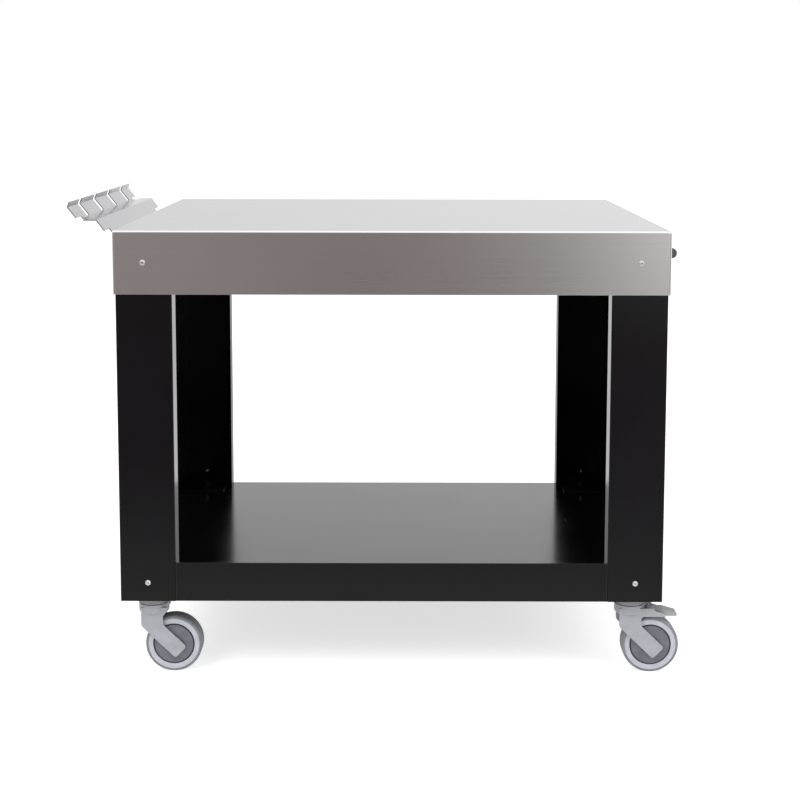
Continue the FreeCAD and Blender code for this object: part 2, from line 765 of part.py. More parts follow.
def make_bottle_opener():
    """A cast plate with a round-nosed hood; the cap goes up into the hood from below."""
    depth = "(opener_setback - worktop_depth / 2)"
    body = new_body("bottle_opener", "%s + %s" % (TABLE_X, HALF_WIDTH), depth, APRON_MIDDLE)
    half_width = "(opener_plate_width / 2)"
    half_height = "(opener_plate_height / 2)"
    block(body, ("0", "opener_plate"), ("-" + half_width, half_width), ("-" + half_height, half_height))
    rounded(body, "opener_plate_corner", lambda edge: runs_along(edge, AXIS_X))
    hood_y = "(opener_hood_width / 2)"
    hood_z = "(opener_hood_height / 2)"
    block(body, ("0", "opener_reach"), ("-" + hood_y, hood_y), ("-" + hood_z, hood_z))
    nose = value("opener_reach")
    rounded(body, "opener_nose_radius", lambda edge: runs_along(edge, AXIS_Y)
            and abs(edge.Vertexes[0].Point.x - nose) < 0.01)
    mouth = new_sketch(body, "XY_Plane", "-" + hood_z)
    chain(mouth, rectangle("opener_plate + opener_wall / 2", "opener_reach - opener_lip",
                           "-(%s - opener_wall)" % hood_y, "%s - opener_wall" % hood_y))
    pocket(body, mouth, "opener_hood_height - opener_wall")
    for end in ("-1", "1"):
        hole_along_x(body, "0", end + " * opener_screw_pitch / 2", CLEAR_HOLE, "-opener_plate", "opener_plate * 3")
    return node(body)


# Castors: every piece is in the castor's own frame, with the swivel axis on Z and the wheel trailing along X

def arm_point(along, across):
    """A point of the fork's arm, measured from the axle along and across the arm."""
    x = "(castor_trail + (%s) * %s + (%s) * %s)" % (along, ARM_COS, across, ARM_SIN)
    z = "(%s - (%s) * %s + (%s) * %s)" % (WHEEL_RADIUS, along, ARM_SIN, across, ARM_COS)
    return x, z


def arm_height(point, x):
    """Height of the arm's edge through the point, at x."""
    return "(%s + (%s - (%s)) * tan(arm_tilt * 1 deg))" % (point[1], point[0], x)


def cheek_outline(braked):
    """One side of the fork; a braked one runs on over the wheel as the pedal's housing."""
    lower = arm_point("arm_overrun", "-arm_width / 2")
    upper = arm_point("arm_overrun", "arm_width / 2")
    outline = [("-cheek_back", "cheek_top"), ("-cheek_back", arm_height(lower, "-cheek_back")), lower, upper,
               ("cheek_throat", arm_height(upper, "cheek_throat"))]
    if braked:
        return outline + [("cheek_throat", "housing_bottom"), ("housing_reach", "housing_bottom"),
                          ("housing_reach", "housing_tip_height"), ("housing_step", "housing_step_height"),
                          ("housing_shoulder", "cheek_top")]
    return outline + [("cheek_throat", "cheek_waist_height"), ("cheek_shoulder", "cheek_shoulder_height"),
                      ("cheek_shoulder", "cheek_top")]


def make_fork(label, x, y, braked):
    """Crown with a ball cup, and two cheeks that carry the axle."""
    body = new_body(label, x, y)
    bore = "(king_radius + running_gap)"
    crown_top = "(leg_bottom - collar_height - swivel_gap)"
    cup_floor = "(crown_bottom + crown_floor)"
    turned(body, [(bore, "crown_bottom"), ("crown_radius", "crown_bottom"), ("crown_radius", crown_top),
                  ("cup_radius", crown_top), ("cup_radius", cup_floor), (bore, cup_floor)])
    brim = value("crown_bottom")
    bore_length = 2 * math.pi * value(bore)
    rounded(body, "crown_edge", lambda edge: abs(edge.BoundBox.ZMax - brim) < 0.01 and edge.Length > bore_length * 2)
    for y_low, y_high in (("-" + CHEEK_OUT, "-cheek_gap"), ("cheek_gap", CHEEK_OUT)):
        along_y(body, cheek_outline(braked), y_low, y_high)
    lower = arm_point("arm_overrun", "-arm_width / 2")
    upper = arm_point("arm_overrun", "arm_width / 2")
    waist = "housing_bottom" if braked else "cheek_waist_height"
    corners = [(lower, "arm_corner"), (upper, "arm_corner"),
               (("-cheek_back", arm_height(lower, "-cheek_back")), "knee_radius"),
               (("cheek_throat", arm_height(upper, "cheek_throat")), "throat_radius"),
               (("cheek_throat", waist), "waist_radius")]
    for corner, radius in corners:
        spot = [value(text) for text in corner]
        rounded(body, radius, lambda edge: runs_along(edge, AXIS_Y) and passes(edge, x=spot[0], z=spot[1]))
    hole_along_z(body, "0", "0", "cup_radius", cup_floor, "crown_bottom")
    hole_along_y(body, "castor_trail", WHEEL_RADIUS, "(axle_radius + thread_gap)")
    if braked:
        hole_along_y(body, "brake_pin_trail", "brake_pin_height", "(brake_pin_radius + thread_gap)")
    return node(body)


def make_pin(label, x, y, z, radius):
    """A plain pin across the fork, flush with both cheeks."""
    body = new_body(label, x, y, z)
    sketch = circle(new_sketch(body, "XZ_Plane"), "0", "0", radius)
    pad(body, sketch, CHEEK_OUT + " * 2", symmetric=True)
    return node(body)


def make_swivel_balls(label, x, y):
    """The ring of balls between the collar's hub and the crown's cup."""
    balls = []
    for number in range(BALL_COUNT):
        ball = doc.addObject("Part::Sphere", "%s_%d" % (label, number + 1))
        bind(ball, "Radius", "ball_radius")
        turn = "(360 deg * %d / %d)" % (number, BALL_COUNT)
        place(ball, "%s + ball_circle * cos%s" % (x, turn), "%s + ball_circle * sin%s" % (y, turn),
              "crown_bottom + crown_floor + ball_radius + running_gap")
        balls.append(ball)
    return group(label, balls)


def make_collar(label, x, y):
    """Dark collar between the leg and the crown, whose hub is the balls' inner race."""
    body = new_body(label, x, y)
    bore = "(king_radius + thread_gap)"
    skirt = "(leg_bottom - collar_height)"
    turned(body, [(bore, skirt + " - collar_hub_drop"), ("collar_hub_radius", skirt + " - collar_hub_drop"),
                  ("collar_hub_radius", skirt), ("collar_radius", skirt), ("collar_radius", "leg_bottom"),
                  (bore, "leg_bottom")])
    return node(body)


def make_king_bolt(label, x, y):
    """Bolt up through the fork, the collar, the tray and the seat."""
    body = new_body(label, x, y)
    head_top = "(crown_bottom - king_head_gap)"
    turned(body, [("0", head_top + " - king_head_height"), ("king_head_radius", head_top + " - king_head_height"),
                  ("king_head_radius", head_top), ("king_radius", head_top), ("king_radius", "king_top"),
                  ("0", "king_top")])
    foot = value(head_top + " - king_head_height")
    rounded(body, "king_head_edge", lambda edge: abs(edge.BoundBox.ZMax - foot) < 0.01 and edge.Length > 1)
    return body


def make_king_nut(label, x, y):
    """Hexagon nut on top of the seat."""
    body = new_body(label, x, y)
    outline = chain(new_sketch(body, "XY_Plane", SEAT_TOP), hexagon("king_nut_width"))
    circle(outline, "0", "0", "(king_radius + thread_gap)")
    pad(body, outline, "king_nut_height")
    return body


def make_wheel_piece(label, x, y, outline):
    """A turned piece of the wheel, in a frame at the wheel's centre with the axle along Y."""
    body = new_body(label, x + " + castor_trail", y, WHEEL_RADIUS)
    turned(body, outline, "XY_Plane", "Y_Axis")
    return node(body)


def make_wheel(prefix, x, y):
    """Tyre, core, bearing bush and the two hub covers."""
    tread = "(tread_width / 2)"
    tyre = make_wheel_piece(prefix + "_tyre", x, y, [
        (RIM_RADIUS, "-" + tread), (WHEEL_RADIUS, "-" + tread), (WHEEL_RADIUS, tread), (RIM_RADIUS, tread)])
    crown = value(WHEEL_RADIUS)
    rounded(tyre, "tyre_shoulder", lambda edge: edge.Length > crown * math.pi
            and edge.BoundBox.XMax > crown - 0.01 and edge.BoundBox.YLength < 0.01)
    rim = "(rim_width / 2)"
    web = "(web_thickness / 2)"
    hub = "(hub_width / 2)"
    make_wheel_piece(prefix + "_wheel_core", x, y, [
        ("bush_radius", "-" + hub), ("hub_radius", "-" + hub), ("hub_radius", "-" + web), (COVER_SEAT, "-" + web),
        (COVER_SEAT, "-" + rim), (RIM_RADIUS, "-" + rim), (RIM_RADIUS, rim), (COVER_SEAT, rim), (COVER_SEAT, web),
        ("hub_radius", web), ("hub_radius", hub), ("bush_radius", hub)])
    bush = "(bush_width / 2)"
    make_wheel_piece(prefix + "_axle_bush", x, y, [
        ("axle_radius + running_gap", "-" + bush), ("bush_radius", "-" + bush), ("bush_radius", bush),
        ("axle_radius + running_gap", bush)])
    for name, end in (("front", FRONT), ("rear", BACK)):
        edge = "(%s - cover_gap)" % COVER_SEAT
        make_wheel_piece("%s_hub_cover_%s" % (prefix, name), x, y, [
            ("hub_radius", end + " * cover_inner_face"), (edge, end + " * cover_inner_face"),
            (edge, end + " * cover_edge_face"), ("cover_flat_radius", end + " * cover_outer_face"),
            ("hub_radius", end + " * cover_outer_face")])


def make_brake(prefix, x, y):
    """Foot pedal on a pin through the housing, with a shoe that comes down on the tread."""
    pedal = new_body(prefix + "_brake_pedal", x, y)
    root = [("pedal_heel", "pedal_heel_bottom"), ("pedal_heel", "pedal_top"), ("pedal_root", "pedal_top"),
            ("pedal_root", "shoe_seat"), ("shoe_heel", "shoe_seat")]
    along_y(pedal, root, "-pedal_heel_half_width", "pedal_heel_half_width")
    foot = [("shoe_heel", "shoe_seat"), ("shoe_heel", "pedal_top"), ("pedal_bend", "pedal_top"),
            ("pedal_tip", "pedal_tip_top"), ("pedal_tip", "pedal_tip_bottom"), ("pedal_sole", "pedal_tip_bottom"),
            ("pedal_neck", "shoe_seat")]
    along_y(pedal, foot, "-pedal_half_width", "pedal_half_width")
    tip = value("pedal_tip")
    rounded(pedal, "pedal_tip_edge", lambda edge: runs_along(edge, AXIS_Y)
            and abs(edge.Vertexes[0].Point.x - tip) < 0.01)
    slope = "((pedal_top - pedal_tip_top) / (pedal_tip - pedal_bend))"
    cell_in = "(pedal_sole + pedal_skin)"
    cell_out = "(pedal_tip - pedal_skin * 2)"
    below = "(pedal_tip_bottom - pedal_skin)"
    cell_pitch = "((pedal_half_width * 2 - pedal_skin) / 3)"
    half = "((%s - pedal_skin) / 2)" % cell_pitch
    for step in ("-1", "0", "1"):
        cell = new_sketch(pedal, "XZ_Plane", "-(%s * %s + %s)" % (step, cell_pitch, half))
        roof_in, roof_out = ["pedal_top - (%s - pedal_bend) * %s - pedal_skin" % (x_end, slope)
                             for x_end in (cell_in, cell_out)]
        chain(cell, [(cell_in, below), (cell_in, roof_in), (cell_out, roof_out), (cell_out, below)])
        pocket(pedal, cell, half + " * 2")
    hole_along_y(pedal, "brake_pin_trail", "brake_pin_height", "(brake_pin_radius + running_gap)")
    node(pedal)
    shoe = new_body(prefix + "_brake_shoe", x, y)
    along_y(shoe, [("shoe_heel", "shoe_seat"), ("shoe_heel", "shoe_heel_bottom"), ("shoe_toe", "shoe_toe_bottom"),
                   ("shoe_toe", "shoe_seat")], "-shoe_half_width", "shoe_half_width")
    node(shoe)
    make_pin(prefix + "_brake_pin", x + " + brake_pin_trail", y, "brake_pin_height", "brake_pin_radius")


def make_castors():
    """Four castors; the front right and the rear left ones have a brake."""
    bolts = []
    nuts = []
    for end_name, end in (("front", FRONT), ("rear", BACK)):
        for side_name, side in (("left", LEFT), ("right", RIGHT)):
            prefix = "%s_%s" % (end_name, side_name)
            braked = (end == FRONT) == (side == RIGHT)
            x = "%s + %s * %s" % (TABLE_X, side, CASTOR_X)
            y = "%s * %s" % (end, CASTOR_Y)
            make_collar(prefix + "_castor_collar", x, y)
            make_fork(prefix + "_castor_fork", x, y, braked)
            make_swivel_balls(prefix + "_swivel_balls", x, y)
            make_pin(prefix + "_axle", x + " + castor_trail", y, WHEEL_RADIUS, "axle_radius")
            make_wheel(prefix, x, y)
            if braked:
                make_brake(prefix, x, y)
            bolts.append(make_king_bolt(prefix + "_king_bolt", x, y))
            nuts.append(make_king_nut(prefix + "_king_nut", x, y))
    group("castor_bolts", bolts)
    group("castor_nuts", nuts)


def check_document():
    """Stop if any object failed or any sub-part has no sound shape."""
    doc.recompute()
    for thing in doc.Objects:
        if "Invalid" in thing.State or "Error" in thing.State:
            raise RuntimeError("%s failed: %s" % (thing.Label, thing.State))
    for thing in nodes:
        if thing.Shape.isNull() or not thing.Shape.isValid() or not thing.Shape.Solids:
            raise RuntimeError("%s has no sound shape" % thing.Label)


def write_parts():
    """One file for each sub-part, named by its label."""
    os.makedirs("parts", exist_ok=True)
    for thing in nodes:
        thing.Shape.exportStep("parts/%s.step" % thing.Label)
        box = thing.Shape.optimalBoundingBox(False)
        print("%-34s solids %d  x %.1f..%.1f  y %.1f..%.1f  z %.1f..%.1f" % (
            thing.Label, len(thing.Shape.Solids), box.XMin, box.XMax, box.YMin, box.YMax, box.ZMin, box.ZMax))


make_worktop()
make_worktop_braces()
make_side_panel("side_panel_left", LEFT)
make_side_panel("side_panel_right", RIGHT)
make_shelf_tray()
make_castor_seats()
make_tool_rack()
make_bottle_opener()
make_leg_fasteners("apron", APRON_MIDDLE, HALF_DEPTH, "%s + %s" % (PANEL_END, APRON_SHIM), APRON_SHIM)
make_leg_fasteners("frame", FOOT_SCREW_HEIGHT, PANEL_END, "%s - panel_sheet" % PANEL_END_SKIN, "nut_flange")
make_side_fasteners("rack", rack_screw_places(), LEFT, "rack_sheet")
make_side_fasteners("opener", opener_screw_places(), RIGHT, "opener_plate")
make_castors()
check_document()
write_parts()
print("%d sub-parts" % len(nodes))
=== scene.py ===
"""Looks of an outdoor pizza oven table: finishes, fasteners, castor wheels, studio and camera."""

from __future__ import annotations

import json
import logging
import math
from dataclasses import dataclass, field
from enum import Enum

import bmesh
import bpy
from mathutils import Matrix, Vector

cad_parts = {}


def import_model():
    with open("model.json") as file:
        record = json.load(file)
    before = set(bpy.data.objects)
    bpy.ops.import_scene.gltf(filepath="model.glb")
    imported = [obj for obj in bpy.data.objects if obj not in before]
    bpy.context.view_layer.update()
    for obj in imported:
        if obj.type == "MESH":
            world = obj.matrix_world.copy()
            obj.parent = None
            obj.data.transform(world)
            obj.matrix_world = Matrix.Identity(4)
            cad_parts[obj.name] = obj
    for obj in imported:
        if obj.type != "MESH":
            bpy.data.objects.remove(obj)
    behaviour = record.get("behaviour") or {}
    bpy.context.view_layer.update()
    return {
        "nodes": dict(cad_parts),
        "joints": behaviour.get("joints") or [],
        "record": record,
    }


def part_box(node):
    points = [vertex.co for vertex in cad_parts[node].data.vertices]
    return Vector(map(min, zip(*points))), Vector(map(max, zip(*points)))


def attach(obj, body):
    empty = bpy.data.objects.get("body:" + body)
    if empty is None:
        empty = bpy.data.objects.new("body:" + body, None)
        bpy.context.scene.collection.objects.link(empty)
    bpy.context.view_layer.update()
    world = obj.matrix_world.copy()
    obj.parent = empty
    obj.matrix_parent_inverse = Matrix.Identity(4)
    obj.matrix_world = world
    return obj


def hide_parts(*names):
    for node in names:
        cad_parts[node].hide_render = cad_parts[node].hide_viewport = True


Socket = bpy.types.NodeSocket
Span = tuple[float, float]
Triple = tuple[float, float, float]

LOG = logging.getLogger("pizza_oven_table")
MM = 0.001
WHITE = (1.0, 1.0, 1.0)
# Most values of a noise texture lie in this span.
NOISE_SPAN = (0.35, 0.65)
# From this part of the normal on, a face counts as looking along the axis.
LOOKS_ALONG = 0.7
BEVEL_SAMPLES = 4
WELD_DISTANCE = 0.000002
PATTERN_SEGMENTS = 48
CORNERS = ("front_left", "front_right", "rear_left", "rear_right")
BRAKED = ("front_right", "rear_left")


class Facing(Enum):
    """Which way a screw's head, a nut's outer end or an axle points."""

    FRONT = (0.0, -1.0, 0.0)
    BACK = (0.0, 1.0, 0.0)
    LEFT = (-1.0, 0.0, 0.0)
    RIGHT = (1.0, 0.0, 0.0)
    UP = (0.0, 0.0, 1.0)


class NodeTree:
    """A node tree that is built one node at a time."""

    def __init__(self, tree: bpy.types.NodeTree) -> None:
        """Take over a tree and empty it.

        Args:
            tree: the tree to fill.
        """
        self.tree = tree
        self.tree.nodes.clear()

    def node(self, kind: str, inputs: dict | None = None, **settings: object) -> bpy.types.Node:
        """Add a node.

        Args:
            kind: the node's type.
            inputs: socket names or numbers to values, or to output sockets to link from.
            settings: properties of the node.

        Returns:
            The new node.
        """
        made = self.tree.nodes.new(kind)
        for key, setting in settings.items():
            setattr(made, key, setting)
        for key, source in (inputs or {}).items():
            if isinstance(source, bpy.types.NodeSocket):
                self.tree.links.new(source, made.inputs[key])
            else:
                made.inputs[key].default_value = source
        return made

    def math(self, operation: str, first: object, second: object = 0.0) -> Socket:
        """The result of one Math node."""
        return self.node("ShaderNodeMath", {0: first, 1: second}, operation=operation).outputs[0]

    def polished_ray(self) -> Socket:
        """One for rays that a polished face sends out, mirrored or let through."""
        path = self.node("ShaderNodeLightPath")
        return self.math("MAXIMUM", path.outputs["Is Glossy Ray"], path.outputs["Is Transmission Ray"])


class Shader(NodeTree):
    """A material's nodes."""

    def __init__(self, name: str) -> None:
        """Start an empty material.

        Args:
            name: the material's name.
        """
        self.material = bpy.data.materials.new(name)
        self.material.use_nodes = True
        super().__init__(self.material.node_tree)

    def object_place(self) -> Socket:
        """The point's coordinates on its object."""
        return self.node("ShaderNodeTexCoord").outputs["Object"]

    def noise(self, vector: Socket, scale: float, detail: float = 2.0) -> Socket:
        """Noise, mostly inside NOISE_SPAN."""
        return self.node("ShaderNodeTexNoise", {"Vector": vector, "Scale": scale, "Detail": detail}).outputs[0]

    def stretched(self, vector: Socket, scale: Triple) -> Socket:
        """Coordinates scaled differently along each axis."""
        return self.node("ShaderNodeMapping", {"Vector": vector, "Scale": scale}).outputs[0]

    def edges(self, width: float, keen: float = 0.25, open_face: float = 0.99) -> Socket:
        """One along edges and corners, nought on open faces."""
        soft = self.node("ShaderNodeBevel", {"Radius": width}, samples=BEVEL_SAMPLES).outputs[0]
        sharp = self.node("ShaderNodeNewGeometry").outputs["Normal"]
        alike = self.node("ShaderNodeVectorMath", {0: soft, 1: sharp}, operation="DOT_PRODUCT").outputs["Value"]
        return spread(self, alike, 1.0 - keen, open_face, 1.0, 0.0)

    def turned_radius(self) -> Socket:
        """The distance from the axis on turned pieces, nought on others."""
        return self.node("ShaderNodeAttribute", attribute_name="turned_radius").outputs["Fac"]

    def looks_along(self, part: Socket) -> Socket:
        """One where a part of the normal shows a face that looks along its axis, either way."""
        return self.math("GREATER_THAN", self.math("ABSOLUTE", part), LOOKS_ALONG)

    def finish(self, inputs: dict) -> bpy.types.Material:
        """End the tree in one surface shader.

        Args:
            inputs: values and links of the surface shader.

        Returns:
            The material.
        """
        surface = self.node("ShaderNodeBsdfPrincipled", inputs)
        self.node("ShaderNodeOutputMaterial", {"Surface": surface.outputs[0]})
        return self.material


def spread(tree: NodeTree, source: Socket, low: float, high: float, to_low: float, to_high: float,
           smooth: bool = False) -> Socket:
    """A value mapped from one span onto another, and kept inside it."""
    made = tree.node("ShaderNodeMapRange", {0: source, 1: low, 2: high, 3: to_low, 4: to_high},
                     interpolation_type="SMOOTHSTEP" if smooth else "LINEAR", clamp=True)
    return made.outputs[0]


def varied(tree: NodeTree, noise: Socket, low: float, high: float) -> Socket:
    """Noise stretched from its usual span onto another."""
    return spread(tree, noise, *NOISE_SPAN, low, high)


def tone(tree: NodeTree, factor: Socket, low: object, high: object) -> Socket:
    """A colour between two colours."""
    ends = [(*end, 1.0) if isinstance(end, tuple) else end for end in (low, high)]
    return tree.node("ShaderNodeMix", {0: factor, 6: ends[0], 7: ends[1]}, data_type="RGBA").outputs[2]


def bump(tree: NodeTree, height: Socket, depth: float, edge: float = 0.0) -> Socket:
    """A bump of a real depth in metres, over edges that are softened by a width in metres."""
    inputs = {"Height": height, "Distance": depth, "Strength": 1.0}
    if edge:
        inputs["Normal"] = tree.node("ShaderNodeBevel", {"Radius": edge}, samples=BEVEL_SAMPLES).outputs[0]
    return tree.node("ShaderNodeBump", inputs).outputs[0]


def shade(colour: Triple, factor: float) -> Triple:
    """A colour made lighter or darker."""
    return tuple(min(1.0, part * factor) for part in colour)


@dataclass(frozen=True)
class BrushedSteel:
    """Stainless sheet, brushed along X, or along Y on the faces that look along X."""

    name: str
    colour: Triple
    roughness: float
    anisotropy: float = 0.6
    streak: float = 0.02
    fine_lines: float = 1500.0
    broad_lines: float = 220.0
    grain_length: float = 2.5
    smudge_size: float = 5.0
    # Painted highlight on folds: how far fold faces go toward white, which normals count as folds, and how much
    # smoother folds are.
    fold_highlight_and_polish: float = 0.0
    fold_span: Span = (0.93, 0.985)
    fold_shine: float = 0.4
    grain_swing: float = 0.004
    smudge_swing: Span = (-0.006, 0.008)
    grain_depth: float = 0.000002
    worn: float = 1.25
    edge: float = 0.0006

    def make(self) -> bpy.types.Material:
        """Build the material."""
        shader = Shader(self.name)
        place = shader.node("ShaderNodeTexCoord")
        parts = shader.node("ShaderNodeSeparateXYZ", {0: place.outputs["Object"]})
        facing = shader.node("ShaderNodeSeparateXYZ", {0: place.outputs["Normal"]})
        side_on = shader.looks_along(facing.outputs[0])
        level = shader.looks_along(facing.outputs[2])
        turned = shader.node("ShaderNodeCombineXYZ", {0: parts.outputs[1], 1: parts.outputs[0], 2: parts.outputs[2]})
        along = shader.node("ShaderNodeMix", {0: side_on, 4: place.outputs["Object"], 5: turned.outputs[0]},
                            data_type="VECTOR").outputs[1]
        across = shader.node("ShaderNodeMix", {0: level, 4: (0.0, 0.0, 1.0), 5: (0.0, 1.0, 0.0)},
                             data_type="VECTOR").outputs[1]
        fine = shader.noise(shader.stretched(along, (self.grain_length, self.fine_lines, self.fine_lines)), 1.0)
        broad = shader.noise(shader.stretched(along, (self.grain_length / 3, self.broad_lines, self.broad_lines)), 1.0)
        grain = shader.math("MULTIPLY", shader.math("ADD", fine, broad), 0.5)
        smudge = shader.noise(place.outputs["Object"], self.smudge_size, 3.0)
        streaked = tone(shader, varied(shader, grain, 0.0, 1.0), shade(self.colour, 1 - self.streak),
                        shade(self.colour, 1 + self.streak))
        worn = tone(shader, shader.edges(self.edge * 2), streaked, shade(self.colour, self.worn))
        least, most = (self.roughness + swing for swing in self.smudge_swing)
        rough = shader.math("ADD", varied(shader, grain, -self.grain_swing, self.grain_swing),
                            varied(shader, smudge, least, most))
        # Painted highlight: faces on the folds between flat faces are lightened toward white for a bright line along
        # the edges, and also made smoother.
        if self.fold_highlight_and_polish:
            steepest = shader.math("MAXIMUM", shader.math("ABSOLUTE", facing.outputs[0]), shader.math(
                "MAXIMUM", shader.math("ABSOLUTE", facing.outputs[1]), shader.math("ABSOLUTE", facing.outputs[2])))
            highlight_and_polish = spread(shader, steepest, *self.fold_span, self.fold_highlight_and_polish, 0.0)
            worn = tone(shader, highlight_and_polish, worn, WHITE)
            rough = shader.math("MULTIPLY", rough, spread(shader, highlight_and_polish, 0.0, 1.0, 1.0, self.fold_shine))
        return shader.finish({
            "Base Color": worn, "Metallic": 1.0, "Roughness": rough, "Anisotropic": self.anisotropy,
            "Tangent": across, "Normal": bump(shader, fine, self.grain_depth, self.edge),
        })


@dataclass(frozen=True)
class PowderCoat:
    """Baked powder coat, a fine orange peel, glazed on faces that lay level or line the front opening."""

    name: str
    colour: Triple
    roughness: float
    level_glaze: float = 0.0
    specular: float = 0.3
    peel_size: float = 700.0
    peel_depth: float = 0.00003
    rub: float = 0.0
    jamb_glaze: float = 0.0
    glaze_ior: float = 1.5
    jamb_reach: float = 0.41
    middle: float = 0.03175
    cloud_size: float = 6.0
    cloud_shades: Span = (0.85, 1.2)
    cloud_swing: Span = (-0.02, 0.03)
    fleck_size: float = 240.0
    fleck_reach: Span = (0.05, 0.09)
    fleck_colour: Triple = (0.03, 0.03, 0.03)
    fleck_patch_size: float = 9.0
    fleck_patches: Span = (0.58, 0.72)
    fleck_strength: float = 0.25
    scratch_size: Triple = (260.0, 9.0, 260.0)
    scratch_span: Span = (0.6, 0.72)
    worn: float = 3.0
    edge: float = 0.0008

    def make(self) -> bpy.types.Material:
        """Build the material."""
        shader = Shader(self.name)
        place = shader.object_place()
        peel = shader.noise(place, self.peel_size, 1.0)
        cloud = shader.noise(place, self.cloud_size, 4.0)
        flecks = shader.node("ShaderNodeTexVoronoi", {"Vector": place, "Scale": self.fleck_size}, feature="F1")
        fleck = spread(shader, flecks.outputs["Distance"], *self.fleck_reach, 1.0, 0.0)
        patches = spread(shader, shader.noise(place, self.fleck_patch_size), *self.fleck_patches, 0.0,
                         self.fleck_strength)
        dull, bright = (shade(self.colour, factor) for factor in self.cloud_shades)
        clouded = tone(shader, varied(shader, cloud, 0.0, 1.0), dull, bright)
        dusty = tone(shader, shader.math("MULTIPLY", fleck, patches), clouded, self.fleck_colour)
        worn = tone(shader, shader.math("MULTIPLY", shader.edges(self.edge * 2), 0.5), dusty,
                    shade(self.colour, self.worn))
        scratch = shader.noise(shader.stretched(place, self.scratch_size), 1.0, 5.0)
        rubbed = shader.math("MULTIPLY", spread(shader, scratch, *self.scratch_span, 0.0, 1.0), self.rub)
        least, most = (self.roughness + swing for swing in self.cloud_swing)
        rough = shader.math("ADD", varied(shader, cloud, least, most), rubbed)
        facing = shader.node("ShaderNodeSeparateXYZ", {0: shader.node("ShaderNodeTexCoord").outputs["Normal"]})
        glaze: object = 0.0
        if self.level_glaze:
            upward = shader.math("GREATER_THAN", facing.outputs[2], LOOKS_ALONG)
            glaze = shader.math("MULTIPLY", upward, self.level_glaze)
        if self.jamb_glaze:
            parts = shader.node("ShaderNodeSeparateXYZ", {0: place})
            from_middle = shader.math("ABSOLUTE", shader.math("SUBTRACT", parts.outputs[0], self.middle))
            jamb = shader.math("MULTIPLY", shader.looks_along(facing.outputs[0]),
                               shader.math("LESS_THAN", from_middle, self.jamb_reach))
            in_front = shader.math("MULTIPLY", shader.math("LESS_THAN", parts.outputs[1], 0.0), self.jamb_glaze)
            glaze = shader.math("MULTIPLY", jamb, in_front)
        return shader.finish({
            "Base Color": worn, "Roughness": rough, "Coat Weight": glaze, "Coat IOR": self.glaze_ior,
            "Coat Roughness": self.roughness * 0.6, "Specular IOR Level": self.specular,
            "Normal": bump(shader, peel, self.peel_depth, self.edge),
        })


@dataclass(frozen=True)
class MouldedPlastic:
    """Moulded or painted grey surface with a faint grain and turning rings on lathed pieces, with painted shade in
    recesses and at a hub cover's groove.
    """

    name: str
    colour: Triple
    roughness: float
    grain_size: float = 1400.0
    grain_depth: float = 0.00003
    metallic: float = 0.0
    mottle: float = 0.06
    rings: float = 0.0
    # Painted shade in recesses, from ambient occlusion: strength, reach, occlusion span and darkness.
    recess_shade: float = 0.0
    recess_shade_reach: float = 0.012
    recess_shade_span: Span = (0.3, 0.85)
    recess_shade_darkness: float = 0.15
    # Painted shade of a groove: the radius from which turned pieces are darkened, how softly, how much, and how dark.
    painted_groove_radius: float = 0.0
    painted_groove_rise: float = 0.0001
    painted_groove_strength: float = 0.9
    painted_groove_darkness: float = 0.1
    ring_pitch: float = 0.0016
    cloud_size: float = 60.0
    cloud_swing: float = 0.04
    worn: float = 1.5
    edge: float = 0.0006

    def make(self) -> bpy.types.Material:
        """Build the material."""
        shader = Shader(self.name)
        place = shader.object_place()
        cloud = varied(shader, shader.noise(place, self.cloud_size, 5.0), 0.0, 1.0)
        base = tone(shader, cloud, shade(self.colour, 1 - self.mottle), shade(self.colour, 1 + self.mottle))
        worn = tone(shader, shader.math("MULTIPLY", shader.edges(self.edge * 2), 0.5), base,
                    shade(self.colour, self.worn))
        # Painted shade: the colour is darkened where ambient occlusion finds faces close by, in recesses, gaps and
        # between parts; worn then holds edge wear and this painted shade.
        if self.recess_shade:
            occlusion = shader.node("ShaderNodeAmbientOcclusion", {"Distance": self.recess_shade_reach}, samples=6)
            worn = tone(shader, spread(shader, occlusion.outputs["AO"], *self.recess_shade_span, self.recess_shade, 0.0), worn,
                        shade(self.colour, self.recess_shade_darkness))
        radius = shader.turned_radius()
        # Painted shade: turned pieces are darkened from this radius outward (a hub cover's rim), standing in for the
        # shade in the groove beside the wheel's rim.
        if self.painted_groove_radius:
            inside = spread(shader, radius, self.painted_groove_radius - self.painted_groove_rise, self.painted_groove_radius + self.painted_groove_rise, 0.0,
                            self.painted_groove_strength)
            worn = tone(shader, inside, worn, shade(self.colour, self.painted_groove_darkness))
        wave = shader.math("SINE", shader.math("MULTIPLY", radius, 2 * math.pi / self.ring_pitch))
        grain = shader.math("ADD", shader.noise(place, self.grain_size), shader.math("MULTIPLY", wave, self.rings))
        rough = spread(shader, cloud, 0.0, 1.0, self.roughness - self.cloud_swing, self.roughness + self.cloud_swing)
        return shader.finish({
            "Base Color": worn, "Roughness": rough, "Metallic": self.metallic,
            "Normal": bump(shader, grain, self.grain_depth, self.edge),
        })


